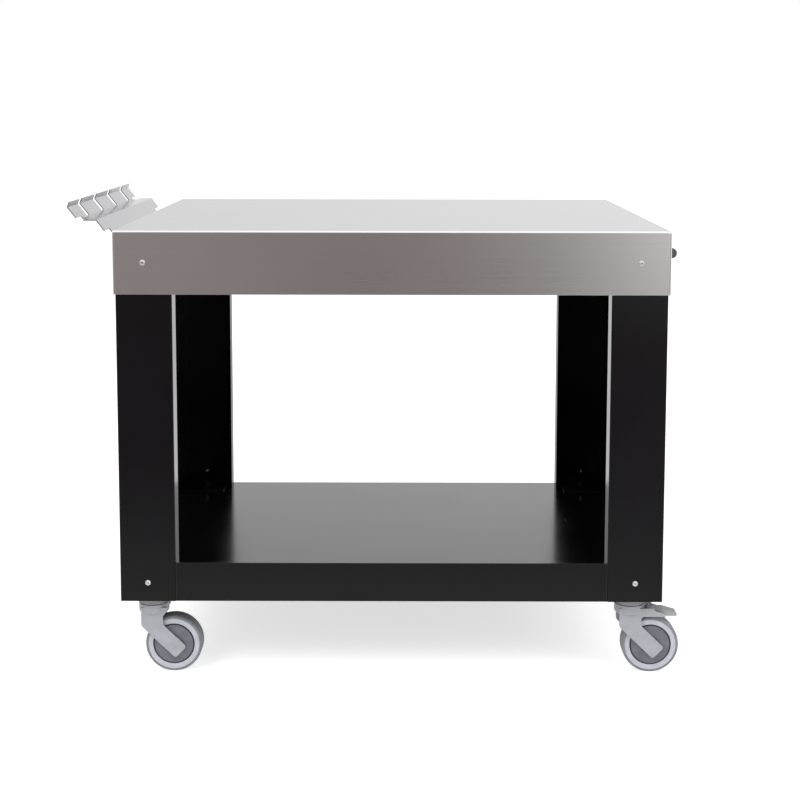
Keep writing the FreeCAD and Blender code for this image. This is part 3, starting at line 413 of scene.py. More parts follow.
@dataclass(frozen=True)
class Rubber:
    """Matt rubber with scuffs and dust on the tread."""

    name: str
    colour: Triple
    roughness: float = 0.6
    scuff_size: Triple = (120.0, 40.0, 120.0)
    tread: Span = (0.0519, 0.0525)
    dust: float = 0.35

    def make(self) -> bpy.types.Material:
        """Build the material."""
        shader = Shader(self.name)
        place = shader.object_place()
        scuff = shader.noise(shader.stretched(place, self.scuff_size), 1.0, 6.0)
        base = tone(shader, spread(shader, scuff, 0.4, 0.68, 0.0, 1.0), self.colour, shade(self.colour, 1.3))
        radius = shader.turned_radius()
        dusty = tone(shader, spread(shader, radius, *self.tread, 0.0, self.dust), base, shade(self.colour, 1.7))
        return shader.finish({
            "Base Color": dusty, "Roughness": spread(shader, scuff, 0.3, 0.7, self.roughness - 0.08,
                                                     self.roughness + 0.12),
            "Normal": bump(shader, shader.noise(place, 1800.0), 0.00005),
        })


@dataclass(frozen=True)
class CastIron:
    """Dark sand-cast iron."""

    name: str
    colour: Triple
    roughness: float = 0.45

    def make(self) -> bpy.types.Material:
        """Build the material."""
        shader = Shader(self.name)
        sand = shader.noise(shader.object_place(), 700.0, 4.0)
        base = tone(shader, varied(shader, sand, 0.0, 1.0), shade(self.colour, 0.7), shade(self.colour, 1.3))
        worn = tone(shader, shader.edges(0.0016), base, shade(self.colour, 1.8))
        return shader.finish({
            "Base Color": worn, "Metallic": 0.7,
            "Roughness": spread(shader, sand, 0.3, 0.7, self.roughness - 0.1, self.roughness + 0.15),
            "Normal": bump(shader, sand, 0.00015, 0.001),
        })


@dataclass(frozen=True)
class PlatedSteel:
    """Zinc plate or plain bright steel with faint spangles, and painted shade inside a screw's socket."""

    name: str
    colour: Triple
    roughness: float
    spangle: float = 90.0
    socket: float = 0.0
    socket_shade: float = 0.7
    spangle_shades: Span = (0.88, 1.1)

    def make(self) -> bpy.types.Material:
        """Build the material."""
        shader = Shader(self.name)
        place = shader.object_place()
        cells = shader.node("ShaderNodeTexVoronoi", {"Vector": place, "Scale": self.spangle})
        flake = shader.node("ShaderNodeSeparateColor", {0: cells.outputs["Color"]}).outputs[0]
        base = tone(shader, flake, *(shade(self.colour, factor) for factor in self.spangle_shades))
        # Painted shade: the inside of a screw's hexagon socket is darkened, standing in for the shade in the recess.
        if self.socket:
            radius = shader.turned_radius()
            base = tone(shader, spread(shader, radius, self.socket * 0.95, self.socket, 1.0, 0.0), base,
                        shade(self.colour, self.socket_shade))
        return shader.finish({
            "Base Color": base, "Metallic": 1.0,
            "Roughness": spread(shader, flake, 0.0, 1.0, self.roughness - 0.05, self.roughness + 0.08),
            "Normal": bump(shader, shader.noise(place, 500.0), 0.00002, 0.0004),
        })


FINISHES = {
    "brushed_stainless": BrushedSteel("brushed_stainless", (0.66, 0.655, 0.66), 0.28, fold_highlight_and_polish=1.0),
    "rack_stainless": BrushedSteel("rack_stainless", (0.42, 0.415, 0.43), 0.12, anisotropy=0.1, edge=0.0003),
    "screw_stainless": PlatedSteel("screw_stainless", (0.97, 0.965, 0.96), 0.32, spangle=300.0, socket=0.0022),
    "black_powder_coat": PowderCoat("black_powder_coat", (0.003, 0.0025, 0.0036), 0.25, jamb_glaze=0.8),
    "tray_powder_coat": PowderCoat("tray_powder_coat", (0.003, 0.0025, 0.0036), 0.2, level_glaze=0.44,
                                   rub=0.05, glaze_ior=2.0),
    "galvanised_steel": PlatedSteel("galvanised_steel", (0.5, 0.51, 0.52), 0.42, spangle=60.0),
    "blackened_steel": PowderCoat("blackened_steel", (0.004, 0.004, 0.0045), 0.5, specular=0.2),
    "opener_iron": CastIron("opener_iron", (0.15, 0.15, 0.155)),
    "grey_rubber": Rubber("grey_rubber", (0.225, 0.233, 0.25)),
    "pale_grey_plastic": MouldedPlastic("pale_grey_plastic", (0.6, 0.6, 0.67), 0.36, rings=0.6),
    "mid_grey_plastic": MouldedPlastic("mid_grey_plastic", (0.175, 0.178, 0.21), 0.38, mottle=0.12, rings=0.3,
                                      recess_shade=0.8, recess_shade_reach=0.003, painted_groove_radius=0.0357),
    "fork_silver_grey": MouldedPlastic("fork_silver_grey", (0.46, 0.465, 0.505), 0.36, grain_size=900.0,
                                       grain_depth=0.00004, metallic=0.15, recess_shade=0.6, edge=0.0016),
    "pedal_grey_plastic": MouldedPlastic("pedal_grey_plastic", (0.45, 0.46, 0.455), 0.45, recess_shade=0.9, recess_shade_reach=0.03),
    "collar_grey_plastic": MouldedPlastic("collar_grey_plastic", (0.36, 0.36, 0.37), 0.42, recess_shade=0.6),
    "bearing_plastic": MouldedPlastic("bearing_plastic", (0.7, 0.7, 0.68), 0.45),
    "zinc_steel": PlatedSteel("zinc_steel", (0.62, 0.63, 0.65), 0.25, spangle=250.0),
}


class Wardrobe:
    """Materials, made once each, and the record's slot of every CAD node."""

    def __init__(self, record: dict) -> None:
        """Read which slot each node has.

        Args:
            record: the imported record.
        """
        self.slot_of = {part["node"]: part["material_slot"] for part in record["subparts"]}
        self.made: dict[str, bpy.types.Material] = {}

    def material(self, name: str) -> bpy.types.Material:
        """The material of one finish."""
        if name not in self.made:
            self.made[name] = FINISHES[name].make()
        return self.made[name]

    def dress(self, thing: bpy.types.Object, name: str) -> None:
        """Give a CAD node one finish all over."""
        if not thing.data.materials:
            thing.data.materials.append(None)
        for slot in thing.material_slots:
            slot.material = self.material(name)


class Recipe(NodeTree):
    """A Geometry Nodes tree with named inputs, whose result becomes a plain mesh."""

    def __init__(self, name: str) -> None:
        """Start a tree with one geometry in and one out.

        Args:
            name: the tree's name.
        """
        super().__init__(bpy.data.node_groups.new(name, "GeometryNodeTree"))
        self.tree.interface.new_socket("Geometry", in_out="INPUT", socket_type="NodeSocketGeometry")
        self.tree.interface.new_socket("Geometry", in_out="OUTPUT", socket_type="NodeSocketGeometry")
        self.entry = self.node("NodeGroupInput")

    def ask(self, name: str, kind: str = "Float") -> Socket:
        """A new named input."""
        self.tree.interface.new_socket(name, in_out="INPUT", socket_type="NodeSocket" + kind)
        return self.entry.outputs[name]

    def serve(self, geometry: Socket) -> None:
        """End the tree: real geometry with its finish."""
        finish = self.ask("Finish", "Material")
        real = self.node("GeometryNodeRealizeInstances", {"Geometry": geometry})
        painted = self.node("GeometryNodeSetMaterial", {"Geometry": real.outputs[0], "Material": finish})
        self.node("NodeGroupOutput", {0: painted.outputs[0]})

    def cook(self, name: str, mesh: bpy.types.Mesh, inputs: dict) -> bpy.types.Object:
        """Run the tree on a mesh.

        Args:
            name: the new object's name.
            mesh: what goes in.
            inputs: values by the inputs' names.

        Returns:
            An object with the plain result, faces outward and smooth up to 35 degrees.
        """
        thing = bpy.data.objects.new(name, mesh)
        bpy.context.scene.collection.objects.link(thing)
        modifier = thing.modifiers.new("recipe", "NODES")
        modifier.node_group = self.tree
        for item in self.tree.interface.items_tree:
            if item.in_out == "INPUT" and item.name in inputs:
                modifier[item.identifier] = inputs[item.name]
        graph = bpy.context.evaluated_depsgraph_get()
        result = bpy.data.meshes.new_from_object(thing.evaluated_get(graph), depsgraph=graph)
        thing.modifiers.clear()
        thing.data = result
        result.name = name
        smooth_outward(result)
        return thing


def smooth_outward(mesh: bpy.types.Mesh, angle_deg: float = 35.0) -> None:
    """Turn all faces outward and shade them smooth, but for sharp edges."""
    solid = bmesh.new()
    solid.from_mesh(mesh)
    bmesh.ops.delete(solid, geom=[edge for edge in solid.edges if not edge.link_faces], context="EDGES")
    bmesh.ops.recalc_face_normals(solid, faces=solid.faces)
    solid.to_mesh(mesh)
    solid.free()
    mesh.polygons.foreach_set("use_smooth", [True] * len(mesh.polygons))
    mesh.set_sharp_from_angle(angle=math.radians(angle_deg))


@dataclass(frozen=True)
class Outline:
    """Half the section of a turned piece: radius and distance along its axis, in millimetres."""

    points: tuple[Span, ...]
    hexagonal: tuple[int, ...] = ()
    closed: bool = True

    def mirrored(self) -> Outline:
        """The same outline on the other side of the middle."""
        return Outline(tuple((radius, -along) for radius, along in self.points), self.hexagonal, self.closed)

    def mesh(self, name: str) -> bpy.types.Mesh:
        """The outline as a line of points, those on a hexagon marked."""
        rows = list(self.points) + ([self.points[0]] if self.closed else [])
        mesh = bpy.data.meshes.new(name)
        mesh.from_pydata([(radius * MM, 0.0, along * MM) for radius, along in rows],
                         [(row, row + 1) for row in range(len(rows) - 1)], [])
        marks = mesh.attributes.new("on_hexagon", "FLOAT", "POINT")
        marks.data.foreach_set("value", [1.0 if row % len(self.points) in self.hexagonal else 0.0
                                         for row in range(len(rows))])
        return mesh


def quarter(centre: Span, radius: float, start_deg: float, end_deg: float,
            steps: int = 6) -> tuple[Span, ...]:
    """Points of an arc in an outline.

    Args:
        centre: the arc's centre.
        radius: its radius.
        start_deg: the angle it starts at, from the outward direction.
        end_deg: the angle it ends at.
        steps: how many pieces it has.

    Returns:
        The points from start to end.
    """
    turns = [math.radians(start_deg + (end_deg - start_deg) * step / steps) for step in range(steps + 1)]
    return tuple((centre[0] + radius * math.cos(turn), centre[1] + radius * math.sin(turn)) for turn in turns)


class Lathe(Recipe):
    """Turns an outline round an axis, with its marked points following a hexagon."""

    def __init__(self) -> None:
        """Build the tree."""
        super().__init__("turned_piece")
        segments = self.ask("Segments", "Int")
        axis = self.ask("Axis", "Vector")
        centre = self.ask("Centre", "Vector")
        outline = self.entry.outputs["Geometry"]
        count = self.node("GeometryNodeAttributeDomainSize", {0: outline}).outputs["Point Count"]
        grid = self.node("GeometryNodeMeshGrid", {"Vertices X": self.math("ADD", segments, 1.0), "Vertices Y": count})
        index = self.node("GeometryNodeInputIndex").outputs[0]
        turn = self.math("FLOOR", self.math("DIVIDE", index, count))
        row = self.math("FLOORED_MODULO", index, count)
        place = self.sample(outline, self.node("GeometryNodeInputPosition").outputs[0], row, "FLOAT_VECTOR")
        mark = self.node("GeometryNodeInputNamedAttribute", {"Name": "on_hexagon"}, data_type="FLOAT").outputs[0]
        hexagonal = self.sample(outline, mark, row, "FLOAT")
        angle = self.math("MULTIPLY", self.math("DIVIDE", turn, segments), 2 * math.pi)
        sixth = self.math("FLOORED_MODULO", self.math("ADD", angle, math.pi / 6), math.pi / 3)
        flare = self.math("DIVIDE", 1.0, self.math("COSINE", self.math("SUBTRACT", sixth, math.pi / 6)))
        stretch = self.math("ADD", 1.0, self.math("MULTIPLY", hexagonal, self.math("SUBTRACT", flare, 1.0)))
        parts = self.node("ShaderNodeSeparateXYZ", {0: place})
        radius = self.math("MULTIPLY", parts.outputs[0], stretch)
        where = self.node("ShaderNodeCombineXYZ", {
            0: self.math("MULTIPLY", radius, self.math("COSINE", angle)),
            1: self.math("MULTIPLY", radius, self.math("SINE", angle)), 2: parts.outputs[2]})
        shaped = self.node("GeometryNodeSetPosition", {"Geometry": grid.outputs[0], "Position": where.outputs[0]})
        kept = self.node("GeometryNodeStoreNamedAttribute", {"Geometry": shaped.outputs[0], "Name": "turned_radius",
                                                             "Value": parts.outputs[0]})
        welded = self.node("GeometryNodeMergeByDistance", {"Geometry": kept.outputs[0], "Distance": WELD_DISTANCE})
        aim = self.node("FunctionNodeAlignRotationToVector", {"Vector": axis}, axis="Z")
        placed = self.node("GeometryNodeTransform", {"Geometry": welded.outputs[0], "Translation": centre,
                                                     "Rotation": aim.outputs[0]})
        self.serve(placed.outputs[0])

    def sample(self, source: Socket, field_socket: Socket, row: Socket,
               kind: str) -> Socket:
        """One value of the outline at a row."""
        made = self.node("GeometryNodeSampleIndex", {"Geometry": source, "Index": row}, data_type=kind)
        self.tree.links.new(field_socket, made.inputs["Value"])
        return made.outputs[0]

    def turn(self, name: str, outline: Outline, centre: Vector, facing: Facing, finish: bpy.types.Material,
             segments: int = 96) -> bpy.types.Object:
        """Make one turned piece."""
        return self.cook(name, outline.mesh(name), {"Segments": segments, "Axis": facing.value, "Centre": centre,
                                                    "Finish": finish})


class Scatter(Recipe):
    """Sets a copy of a pattern piece on every point, pointing as the point says."""

    def __init__(self) -> None:
        """Build the tree."""
        super().__init__("set_on_points")
        pattern = self.ask("Pattern", "Object")
        shape = self.node("GeometryNodeObjectInfo", {"Object": pattern}).outputs["Geometry"]
        facing = self.node("GeometryNodeInputNamedAttribute", {"Name": "facing"}, data_type="FLOAT_VECTOR")
        aim = self.node("FunctionNodeAlignRotationToVector", {"Vector": facing.outputs[0]}, axis="Z")
        copies = self.node("GeometryNodeInstanceOnPoints", {
            "Points": self.entry.outputs["Geometry"], "Instance": shape, "Rotation": aim.outputs[0]})
        self.serve(copies.outputs[0])

    def spread_out(self, name: str, pattern: bpy.types.Object, places: list[tuple[Vector, Facing]],
                   finish: bpy.types.Material) -> bpy.types.Object:
        """Make one piece of many copies, and remove the pattern."""
        mesh = bpy.data.meshes.new(name)
        mesh.from_pydata([place for place, _ in places], [], [])
        ways = mesh.attributes.new("facing", "FLOAT_VECTOR", "POINT")
        ways.data.foreach_set("vector", [part for _, facing in places for part in facing.value])
        made = self.cook(name, mesh, {"Pattern": pattern, "Finish": finish})
        bpy.data.objects.remove(pattern)
        return made


class Ribs(Recipe):
    """A row of round ribs, each lying along Y."""

    def __init__(self) -> None:
        """Build the tree."""
        super().__init__("rib_row")
        count = self.ask("Count", "Int")
        start = self.ask("Start", "Vector")
        step = self.ask("Step", "Vector")
        half = self.ask("Half length")
        thickness = self.ask("Thickness")
        left = self.node("ShaderNodeCombineXYZ", {1: self.math("MULTIPLY", half, -1.0)}).outputs[0]
        right = self.node("ShaderNodeCombineXYZ", {1: half}).outputs[0]
        line = self.node("GeometryNodeCurvePrimitiveLine", {"Start": left, "End": right})
        ring = self.node("GeometryNodeCurvePrimitiveCircle", {"Resolution": 10,
                                                              "Radius": self.math("MULTIPLY", thickness, 0.5)})
        rib = self.node("GeometryNodeCurveToMesh", {"Curve": line.outputs[0], "Profile Curve": ring.outputs[0],
                                                    "Fill Caps": True})
        row = self.node("GeometryNodeMeshLine", {"Count": count, "Start Location": start, "Offset": step})
        copies = self.node("GeometryNodeInstanceOnPoints", {"Points": row.outputs[0], "Instance": rib.outputs[0]})
        self.serve(copies.outputs[0])

    def lay(self, name: str, count: int, start: Vector, step: Vector, half: float, thickness: float,
            finish: bpy.types.Material) -> bpy.types.Object:
        """Make one row."""
        return self.cook(name, bpy.data.meshes.new(name), {
            "Count": count, "Start": start, "Step": step, "Half length": half, "Thickness": thickness,
            "Finish": finish})


@dataclass
class Workshop:
    """What every sub-assembly needs to make and dress its pieces."""

    wardrobe: Wardrobe
    nodes: dict[str, bpy.types.Object]
    lathe: Lathe = field(default_factory=Lathe)
    scatter: Scatter = field(default_factory=Scatter)
    ribs: Ribs = field(default_factory=Ribs)

    def dress(self, name: str, finish: str | None = None) -> None:
        """Give a CAD node its finish."""
        chosen = finish or self.wardrobe.slot_of[name]
        self.wardrobe.dress(self.nodes[name], chosen)
        LOG.info("finish %s on %s", chosen, name)

    def fit(self, piece: bpy.types.Object, body: str, slot: str, *replaced: str) -> None:
        """Let a new piece ride on its body in place of CAD nodes."""
        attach(piece, body)
        if replaced:
            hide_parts(*replaced)
        LOG.info("piece %s on %s for %s", piece.name, body, ", ".join(replaced) or "no node")


@dataclass
class TableFrame:
    """Worktop, side panels, tray, rack and opener, whose CAD shapes stay."""

    shop: Workshop
    parts: tuple[str, ...] = ("worktop", "worktop_braces", "side_panel_left", "side_panel_right", "castor_seats",
                              "tool_rack", "bottle_opener")
    hidden: tuple[str, ...] = ("apron_nuts", "frame_nuts", "rack_nuts", "opener_nuts")

    def make(self) -> None:
        """Dress the sheet metal and the nuts behind it."""
        for name in self.parts + self.hidden:
            self.shop.dress(name)
        self.shop.dress("shelf_tray", "tray_powder_coat")


@dataclass
class ButtonScrews:
    """All button-head screws, as one piece of copies of one turned pattern."""

    shop: Workshop
    spacing: float = 0.44525
    apron_face: float = 0.405
    apron_height: float = 0.7705
    leg_face: float = 0.401
    foot_height: float = 0.181
    rack_face: float = 0.502
    rack_height: float = 0.751
    rack_steps: tuple[float, ...] = (-0.18, -0.06, 0.06, 0.18)
    opener_face: float = 0.505
    opener_place: float = -0.216
    opener_rise: float = 0.026
    outline: Outline = Outline(
        ((0.0, -18.0), (2.5, -18.0), (3.0, -17.5), (3.0, 0.0), (5.0, 0.0), (5.25, 0.25))
        + quarter((2.85, 0.6), 2.4, 0.0, 78.0)[1:] + ((2.75, 3.2), (2.31, 3.15), (2.0, 2.85), (2.0, 1.5), (0.0, 1.5)),
        hexagonal=(13, 14, 15), closed=False)

    def places(self, middle: float) -> list[tuple[Vector, Facing]]:
        """Where the heads bear, and which way they look."""
        spots = []
        for side in (-1, 1):
            for face, height in ((self.apron_face, self.apron_height), (self.leg_face, self.foot_height)):
                x = middle + side * self.spacing
                spots += [(Vector((x, -face, height)), Facing.FRONT), (Vector((x, face, height)), Facing.BACK)]
            spots.append((Vector((middle + self.opener_face, self.opener_place,
                                  self.apron_height + side * self.opener_rise)), Facing.RIGHT))
        spots += [(Vector((middle - self.rack_face, step, self.rack_height)), Facing.LEFT) for step in self.rack_steps]
        return spots

    def make(self, middle: float) -> None:
        """Build the screws.

        Args:
            middle: x of the table's centre line.
        """
        finish = self.shop.wardrobe.material("screw_stainless")
        pattern = self.shop.lathe.turn("screw_pattern", self.outline, Vector(), Facing.UP, finish, PATTERN_SEGMENTS)
        screws = self.shop.scatter.spread_out("button_screws", pattern, self.places(middle), finish)
        self.shop.fit(screws, "table", "screw_stainless", "apron_screws", "frame_screws", "rack_screws",
                      "opener_screws")


@dataclass
class CastorWheel:
    """Tyre, rim and hub covers of one wheel, turned round its axle."""

    shop: Workshop
    corner: str
    tyre: Outline = Outline(
        ((47.8, -16.0),) + quarter((48.3, -11.8), 4.2, -90.0, -8.0, 8) + (
            (52.5, -9.6), (52.1, -9.2), (52.1, -8.6), (52.5, -8.2), (52.5, -0.3), (52.35, 0.0), (52.5, 0.3),
            (52.5, 8.2), (52.1, 8.6), (52.1, 9.2), (52.5, 9.6))
        + quarter((48.3, 11.8), 4.2, 8.0, 90.0, 8) + ((47.8, 16.0),))
    rim_side: tuple[Span, ...] = (
        (8.0, 18.5), (13.6, 18.5), (14.0, 18.1), (14.0, 4.0), (38.5, 4.0), (38.5, 14.9), (39.0, 15.4), (44.2, 15.5),
        (44.6, 15.1), (45.3, 15.1), (45.7, 15.5), (47.3, 15.5), (47.8, 15.1))
    cover: Outline = Outline(
        ((14.0, 12.8), (36.9, 12.8), (36.9, 14.2)) + quarter((36.1, 14.0), 0.8, 15.0, 80.0, 4)
        + ((34.0, 15.05), (30.0, 15.6), (26.0, 16.15), (23.4, 16.5), (21.5, 16.6), (15.0, 16.6), (14.0, 16.2)))

    def make(self, centre: Vector) -> None:
        """Build the wheel.

        Args:
            centre: the middle of its axle.
        """
        body = self.corner + "_wheel"
        rim = Outline(self.rim_side + tuple((radius, -along) for radius, along in reversed(self.rim_side)))
        for name, outline, finish, node in (("tyre", self.tyre, "grey_rubber", "_tyre"),
                                            ("rim", rim, "pale_grey_plastic", "_wheel_core")):
            piece = self.shop.lathe.turn("%s_turned_%s" % (self.corner, name), outline, centre, Facing.BACK,
                                         self.shop.wardrobe.material(finish))
            self.shop.fit(piece, body, finish, self.corner + node)
        for name, outline in (("front", self.cover.mirrored()), ("rear", self.cover)):
            piece = self.shop.lathe.turn("%s_turned_cover_%s" % (self.corner, name), outline, centre, Facing.BACK,
                                         self.shop.wardrobe.material("mid_grey_plastic"))
            self.shop.fit(piece, body, "mid_grey_plastic", "%s_hub_cover_%s" % (self.corner, name))
        self.shop.dress(self.corner + "_axle_bush")


@dataclass
class Castor:
    """One castor: collar, fork, wheel and, where it has one, the brake."""

    shop: Workshop
    corner: str
    collar_top: float = 0.146
    collar: Outline = Outline((
        (6.05, -25.0), (12.0, -25.0), (12.0, -16.0), (26.4, -16.0), (27.0, -15.8), (27.5, -15.2), (27.5, -13.4),
        (27.1, -13.0), (27.1, -12.6), (27.5, -12.2), (27.5, -0.8), (27.2, -0.2), (26.6, 0.0), (6.05, 0.0)))
    rib_half: float = 0.0112
    rib_thickness: float = 0.0015
    rib_rows: tuple[tuple[str, int, tuple, tuple], ...] = (
        ("level", 4, (50.0, 0.0, 119.0), (3.3, 0.0, 0.0)), ("sloping", 7, (63.8, 0.0, 118.4), (3.3, 0.0, -0.99)))

    def make(self, swivel: Vector, hub: Vector) -> None:
        """Build the castor.

        Args:
            swivel: a point on the swivel's axis.
            hub: the middle of the wheel's axle.
        """
        top = Vector((swivel.x, swivel.y, self.collar_top))
        piece = self.shop.lathe.turn(self.corner + "_turned_collar", self.collar, top, Facing.UP,
                                     self.shop.wardrobe.material("collar_grey_plastic"))
        self.shop.fit(piece, "table", "collar_grey_plastic", self.corner + "_castor_collar")
        self.shop.dress(self.corner + "_castor_fork")
        self.shop.dress(self.corner + "_swivel_balls")
        self.shop.dress(self.corner + "_axle", "fork_silver_grey")
        CastorWheel(self.shop, self.corner).make(hub)
        if self.corner in BRAKED:
            self.make_brake(top)

    def make_brake(self, top: Vector) -> None:
        """Dress the pedal and lay its ribs: a level row behind the bend and a sloping one before it."""
        for part in ("_brake_pedal", "_brake_shoe"):
            self.shop.dress(self.corner + part, "pedal_grey_plastic")
        self.shop.dress(self.corner + "_brake_pin", "fork_silver_grey")
        finish = self.shop.wardrobe.material("pedal_grey_plastic")
        for name, count, start, step in self.rib_rows:
            place = Vector((top.x, top.y, 0.0)) + Vector(start) * MM
            row = self.shop.ribs.lay("%s_pedal_ribs_%s" % (self.corner, name), count, place, Vector(step) * MM,
                                     self.rib_half, self.rib_thickness, finish)
            self.shop.fit(row, self.corner + "_pedal", "pedal_grey_plastic")


@dataclass
class KingFasteners:
    """Hexagon nuts and threaded ends of the castors' bolts, inside the legs."""

    shop: Workshop
    seat_top: float = 0.152
    nut: Outline = Outline(
        ((6.1, 0.0), (8.7, 0.0), (9.5, 0.5), (9.5, 9.4), (8.6, 10.0), (6.6, 10.0), (6.1, 9.5)), hexagonal=(2, 3))

    def make(self, swivels: list[Vector]) -> None:
        """Build the nuts on the swivels' axes."""
        finish = self.shop.wardrobe.material("blackened_steel")
        pattern = self.shop.lathe.turn("nut_pattern", self.nut, Vector(), Facing.UP, finish, PATTERN_SEGMENTS)
        places = [(Vector((swivel.x, swivel.y, self.seat_top)), Facing.UP) for swivel in swivels]
        nuts = self.shop.scatter.spread_out("hexagon_nuts", pattern, places, finish)
        self.shop.fit(nuts, "table", "blackened_steel", "castor_nuts")
        self.shop.dress("castor_bolts")


@dataclass
class Studio:
    """A white floor and world, two lamps, and what polished faces see round them."""

    floor_half: float = 30.0
    floor_white: float = 0.9
    floor_lift: float = 0.64
    near_floor: float = 0.85
    far_floor: Triple = (0.2, 0.165, 0.165)
    sky_level: float = 0.72
    near_edge: Span = (-2.2, -0.55)
    far_edge: Span = (-7.0, -4.5)
    turn_to_back: Span = (-0.3, 0.3)
    turn_to_top: Span = (0.12, 0.5)
    back_span: Span = (-0.3, 0.25)
    back: tuple[Triple, ...] = ((0.87, 0.87, 0.88), (1.02, 1.02, 1.02))
    aim: Triple = (0.0, 0.0, 0.4)
    lamps: tuple[tuple[str, Triple, float, float], ...] = (
        ("key_softbox", (-2.2, -2.6, 3.2), 2.2, 60.0), ("fill_softbox", (2.8, -1.8, 2.4), 2.0, 30.0))
    front: tuple[tuple[float, Triple], ...] = (
        (-0.6, (0.46, 0.43, 0.42)), (-0.22, (0.4, 0.345, 0.335)), (-0.1, (0.26, 0.21, 0.195)),
        (0.0, (0.14, 0.1, 0.08)), (0.05, (0.225, 0.185, 0.168)), (0.1, (0.28, 0.245, 0.235)),
        (0.15, (0.37, 0.34, 0.33)), (0.19, (0.57, 0.56, 0.555)), (0.25, (2.0, 2.0, 2.0)),
        (0.33, (1.8, 1.8, 1.8)), (0.5, (0.8, 0.8, 0.8)))

    def front_glow(self, tree: NodeTree, sideways: Socket) -> Socket:
        """What lies before the table, from left to right, as polished faces see it."""
        low, high = self.front[0][0], self.front[-1][0]
        ramp = tree.node("ShaderNodeValToRGB", {0: spread(tree, sideways, low, high, 0.0, 1.0)})
        stops = ramp.color_ramp.elements
        while len(stops) < len(self.front):
            stops.new(0.5)
        for stop, (place, colour) in zip(stops, self.front):
            stop.position = (place - low) / (high - low)
            stop.color = (*colour, 1.0)
        return ramp.outputs[0]

    def make_floor(self) -> None:
        """A level white floor that keeps the shadow, and is seen through from below."""
        mesh = bpy.data.meshes.new("studio_floor")
        half = self.floor_half
        mesh.from_pydata([(-half, -half, 0), (half, -half, 0), (half, half, 0), (-half, half, 0)], [], [(0, 1, 2, 3)])
        floor = bpy.data.objects.new("studio_floor", mesh)
        bpy.context.scene.collection.objects.link(floor)
        shader = Shader("studio_white")
        path = shader.node("ShaderNodeLightPath")
        parts = shader.node("ShaderNodeSeparateXYZ", {0: shader.object_place()})
        nearness = spread(shader, parts.outputs[1], *self.near_edge, 0.0, 1.0, smooth=True)
        distance = spread(shader, parts.outputs[1], *self.far_edge, 1.0, 0.0, smooth=True)
        sideways = shader.math("DIVIDE", parts.outputs[0], shader.math("MULTIPLY", parts.outputs[1], -1.0))
        open_floor = tone(shader, distance, self.far_floor, self.front_glow(shader, sideways))
        seen = tone(shader, nearness, open_floor, (self.near_floor,) * 3)
        matt = shader.node("ShaderNodeBsdfDiffuse", {"Color": (self.floor_white,) * 3 + (1.0,)})
        lift = shader.node("ShaderNodeEmission", {"Strength": shader.math("MULTIPLY", path.outputs["Is Camera Ray"],
                                                                          self.floor_lift)})
        direct = shader.node("ShaderNodeAddShader", {0: matt.outputs[0], 1: lift.outputs[0]})
        mirror = shader.node("ShaderNodeEmission", {"Color": seen, "Strength": 1.0})
        surface = shader.node("ShaderNodeMixShader", {0: shader.polished_ray(), 1: direct.outputs[0],
                                                      2: mirror.outputs[0]})
        below = shader.math("MULTIPLY", shader.node("ShaderNodeNewGeometry").outputs["Backfacing"],
                            path.outputs["Is Camera Ray"])
        clear = shader.node("ShaderNodeBsdfTransparent")
        seen_through = shader.node("ShaderNodeMixShader", {0: below, 1: surface.outputs[0], 2: clear.outputs[0]})
        shader.node("ShaderNodeOutputMaterial", {"Surface": seen_through.outputs[0]})
        mesh.materials.append(shader.material)

    def make_world(self) -> None:
        """White in the picture, plain for matt faces, darker in front for polished ones."""
        world = bpy.data.worlds.new("studio_world")
        bpy.context.scene.world = world
        world.use_nodes = True
        shader = NodeTree(world.node_tree)
        way = shader.node("ShaderNodeTexCoord").outputs["Generated"]
        parts = shader.node("ShaderNodeSeparateXYZ", {0: way})
        behind = spread(shader, parts.outputs[1], *self.turn_to_back, 0.0, 1.0, smooth=True)
        above = spread(shader, parts.outputs[2], *self.turn_to_top, 0.0, 1.0, smooth=True)
        front = tone(shader, above, self.front_glow(shader, parts.outputs[0]), WHITE)
        back = tone(shader, spread(shader, parts.outputs[0], *self.back_span, 0.0, 1.0), *self.back)
        gloss = tone(shader, behind, front, back)
        unseen = tone(shader, shader.polished_ray(), (self.sky_level,) * 3, gloss)
        camera_ray = shader.node("ShaderNodeLightPath").outputs["Is Camera Ray"]
        light = tone(shader, camera_ray, unseen, WHITE)
        sky = shader.node("ShaderNodeBackground", {"Color": light, "Strength": 1.0})
        shader.node("ShaderNodeOutputWorld", {"Surface": sky.outputs[0]})

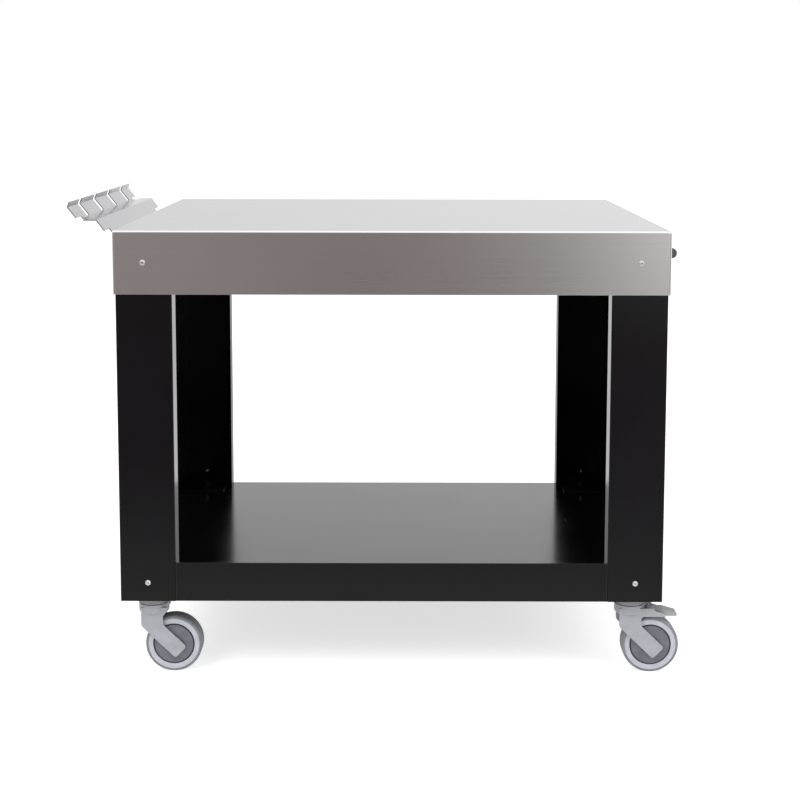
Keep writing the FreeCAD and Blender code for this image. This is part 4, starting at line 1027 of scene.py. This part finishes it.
    def make_lamp(self, name: str, place: Triple, size: float, power: float) -> None:
        """One square softbox that looks at the table, left out of reflections.

        Args:
            name: the lamp's name.
            place: where it hangs.
            size: its side in metres.
            power: its power in watts.
        """
        data = bpy.data.lights.new(name, "AREA")
        data.shape = "SQUARE"
        data.size = size
        data.energy = power
        lamp = bpy.data.objects.new(name, data)
        lamp.location = place
        lamp.rotation_euler = (Vector(self.aim) - Vector(place)).to_track_quat("-Z", "Y").to_euler()
        lamp.visible_glossy = False
        bpy.context.scene.collection.objects.link(lamp)

    def make(self) -> None:
        """Build floor, world and lamps."""
        self.make_floor()
        self.make_world()
        for lamp in self.lamps:
            self.make_lamp(*lamp)


@dataclass
class PhotoCamera:
    """The camera's place and view, matched to the picture."""

    place: Triple = (0.0499, -2.9068, 1.0604)
    pitch_deg: float = 5.8
    yaw_deg: float = 0.083
    roll_deg: float = 0.093
    lens: float = 63.53
    shift_y: float = -0.1961
    sensor: float = 36.0
    reach: float = 200.0

    def make(self) -> None:
        """Build the camera and make it the scene's own."""
        data = bpy.data.cameras.new("photo_camera")
        data.sensor_width = self.sensor
        data.lens = self.lens
        data.shift_y = self.shift_y
        data.clip_end = self.reach
        camera = bpy.data.objects.new("photo_camera", data)
        turn = (Matrix.Rotation(math.radians(self.yaw_deg), 4, "Z")
                @ Matrix.Rotation(math.radians(90.0 - self.pitch_deg), 4, "X")
                @ Matrix.Rotation(math.radians(self.roll_deg), 4, "Z"))
        camera.matrix_world = Matrix.Translation(self.place) @ turn
        bpy.context.scene.collection.objects.link(camera)
        bpy.context.scene.camera = camera


def main() -> None:
    """Build the looks in order."""
    logging.basicConfig(level=logging.INFO, format="%(name)s: %(message)s")
    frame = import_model()
    bpy.context.scene.view_settings.view_transform = "Standard"
    PhotoCamera().make()
    Studio().make()
    shop = Workshop(Wardrobe(frame["record"]), frame["nodes"])
    TableFrame(shop).make()
    low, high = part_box("worktop")
    ButtonScrews(shop).make((low.x + high.x) / 2)
    axes = {joint["name"]: Vector(joint["pos_m"]) for joint in frame["joints"]}
    for corner in CORNERS:
        Castor(shop, corner).make(axes[corner + "_swivel_turn"], axes[corner + "_wheel_spin"])
    KingFasteners(shop).make([axes[corner + "_swivel_turn"] for corner in CORNERS])


if __name__ == "__main__":
    main()
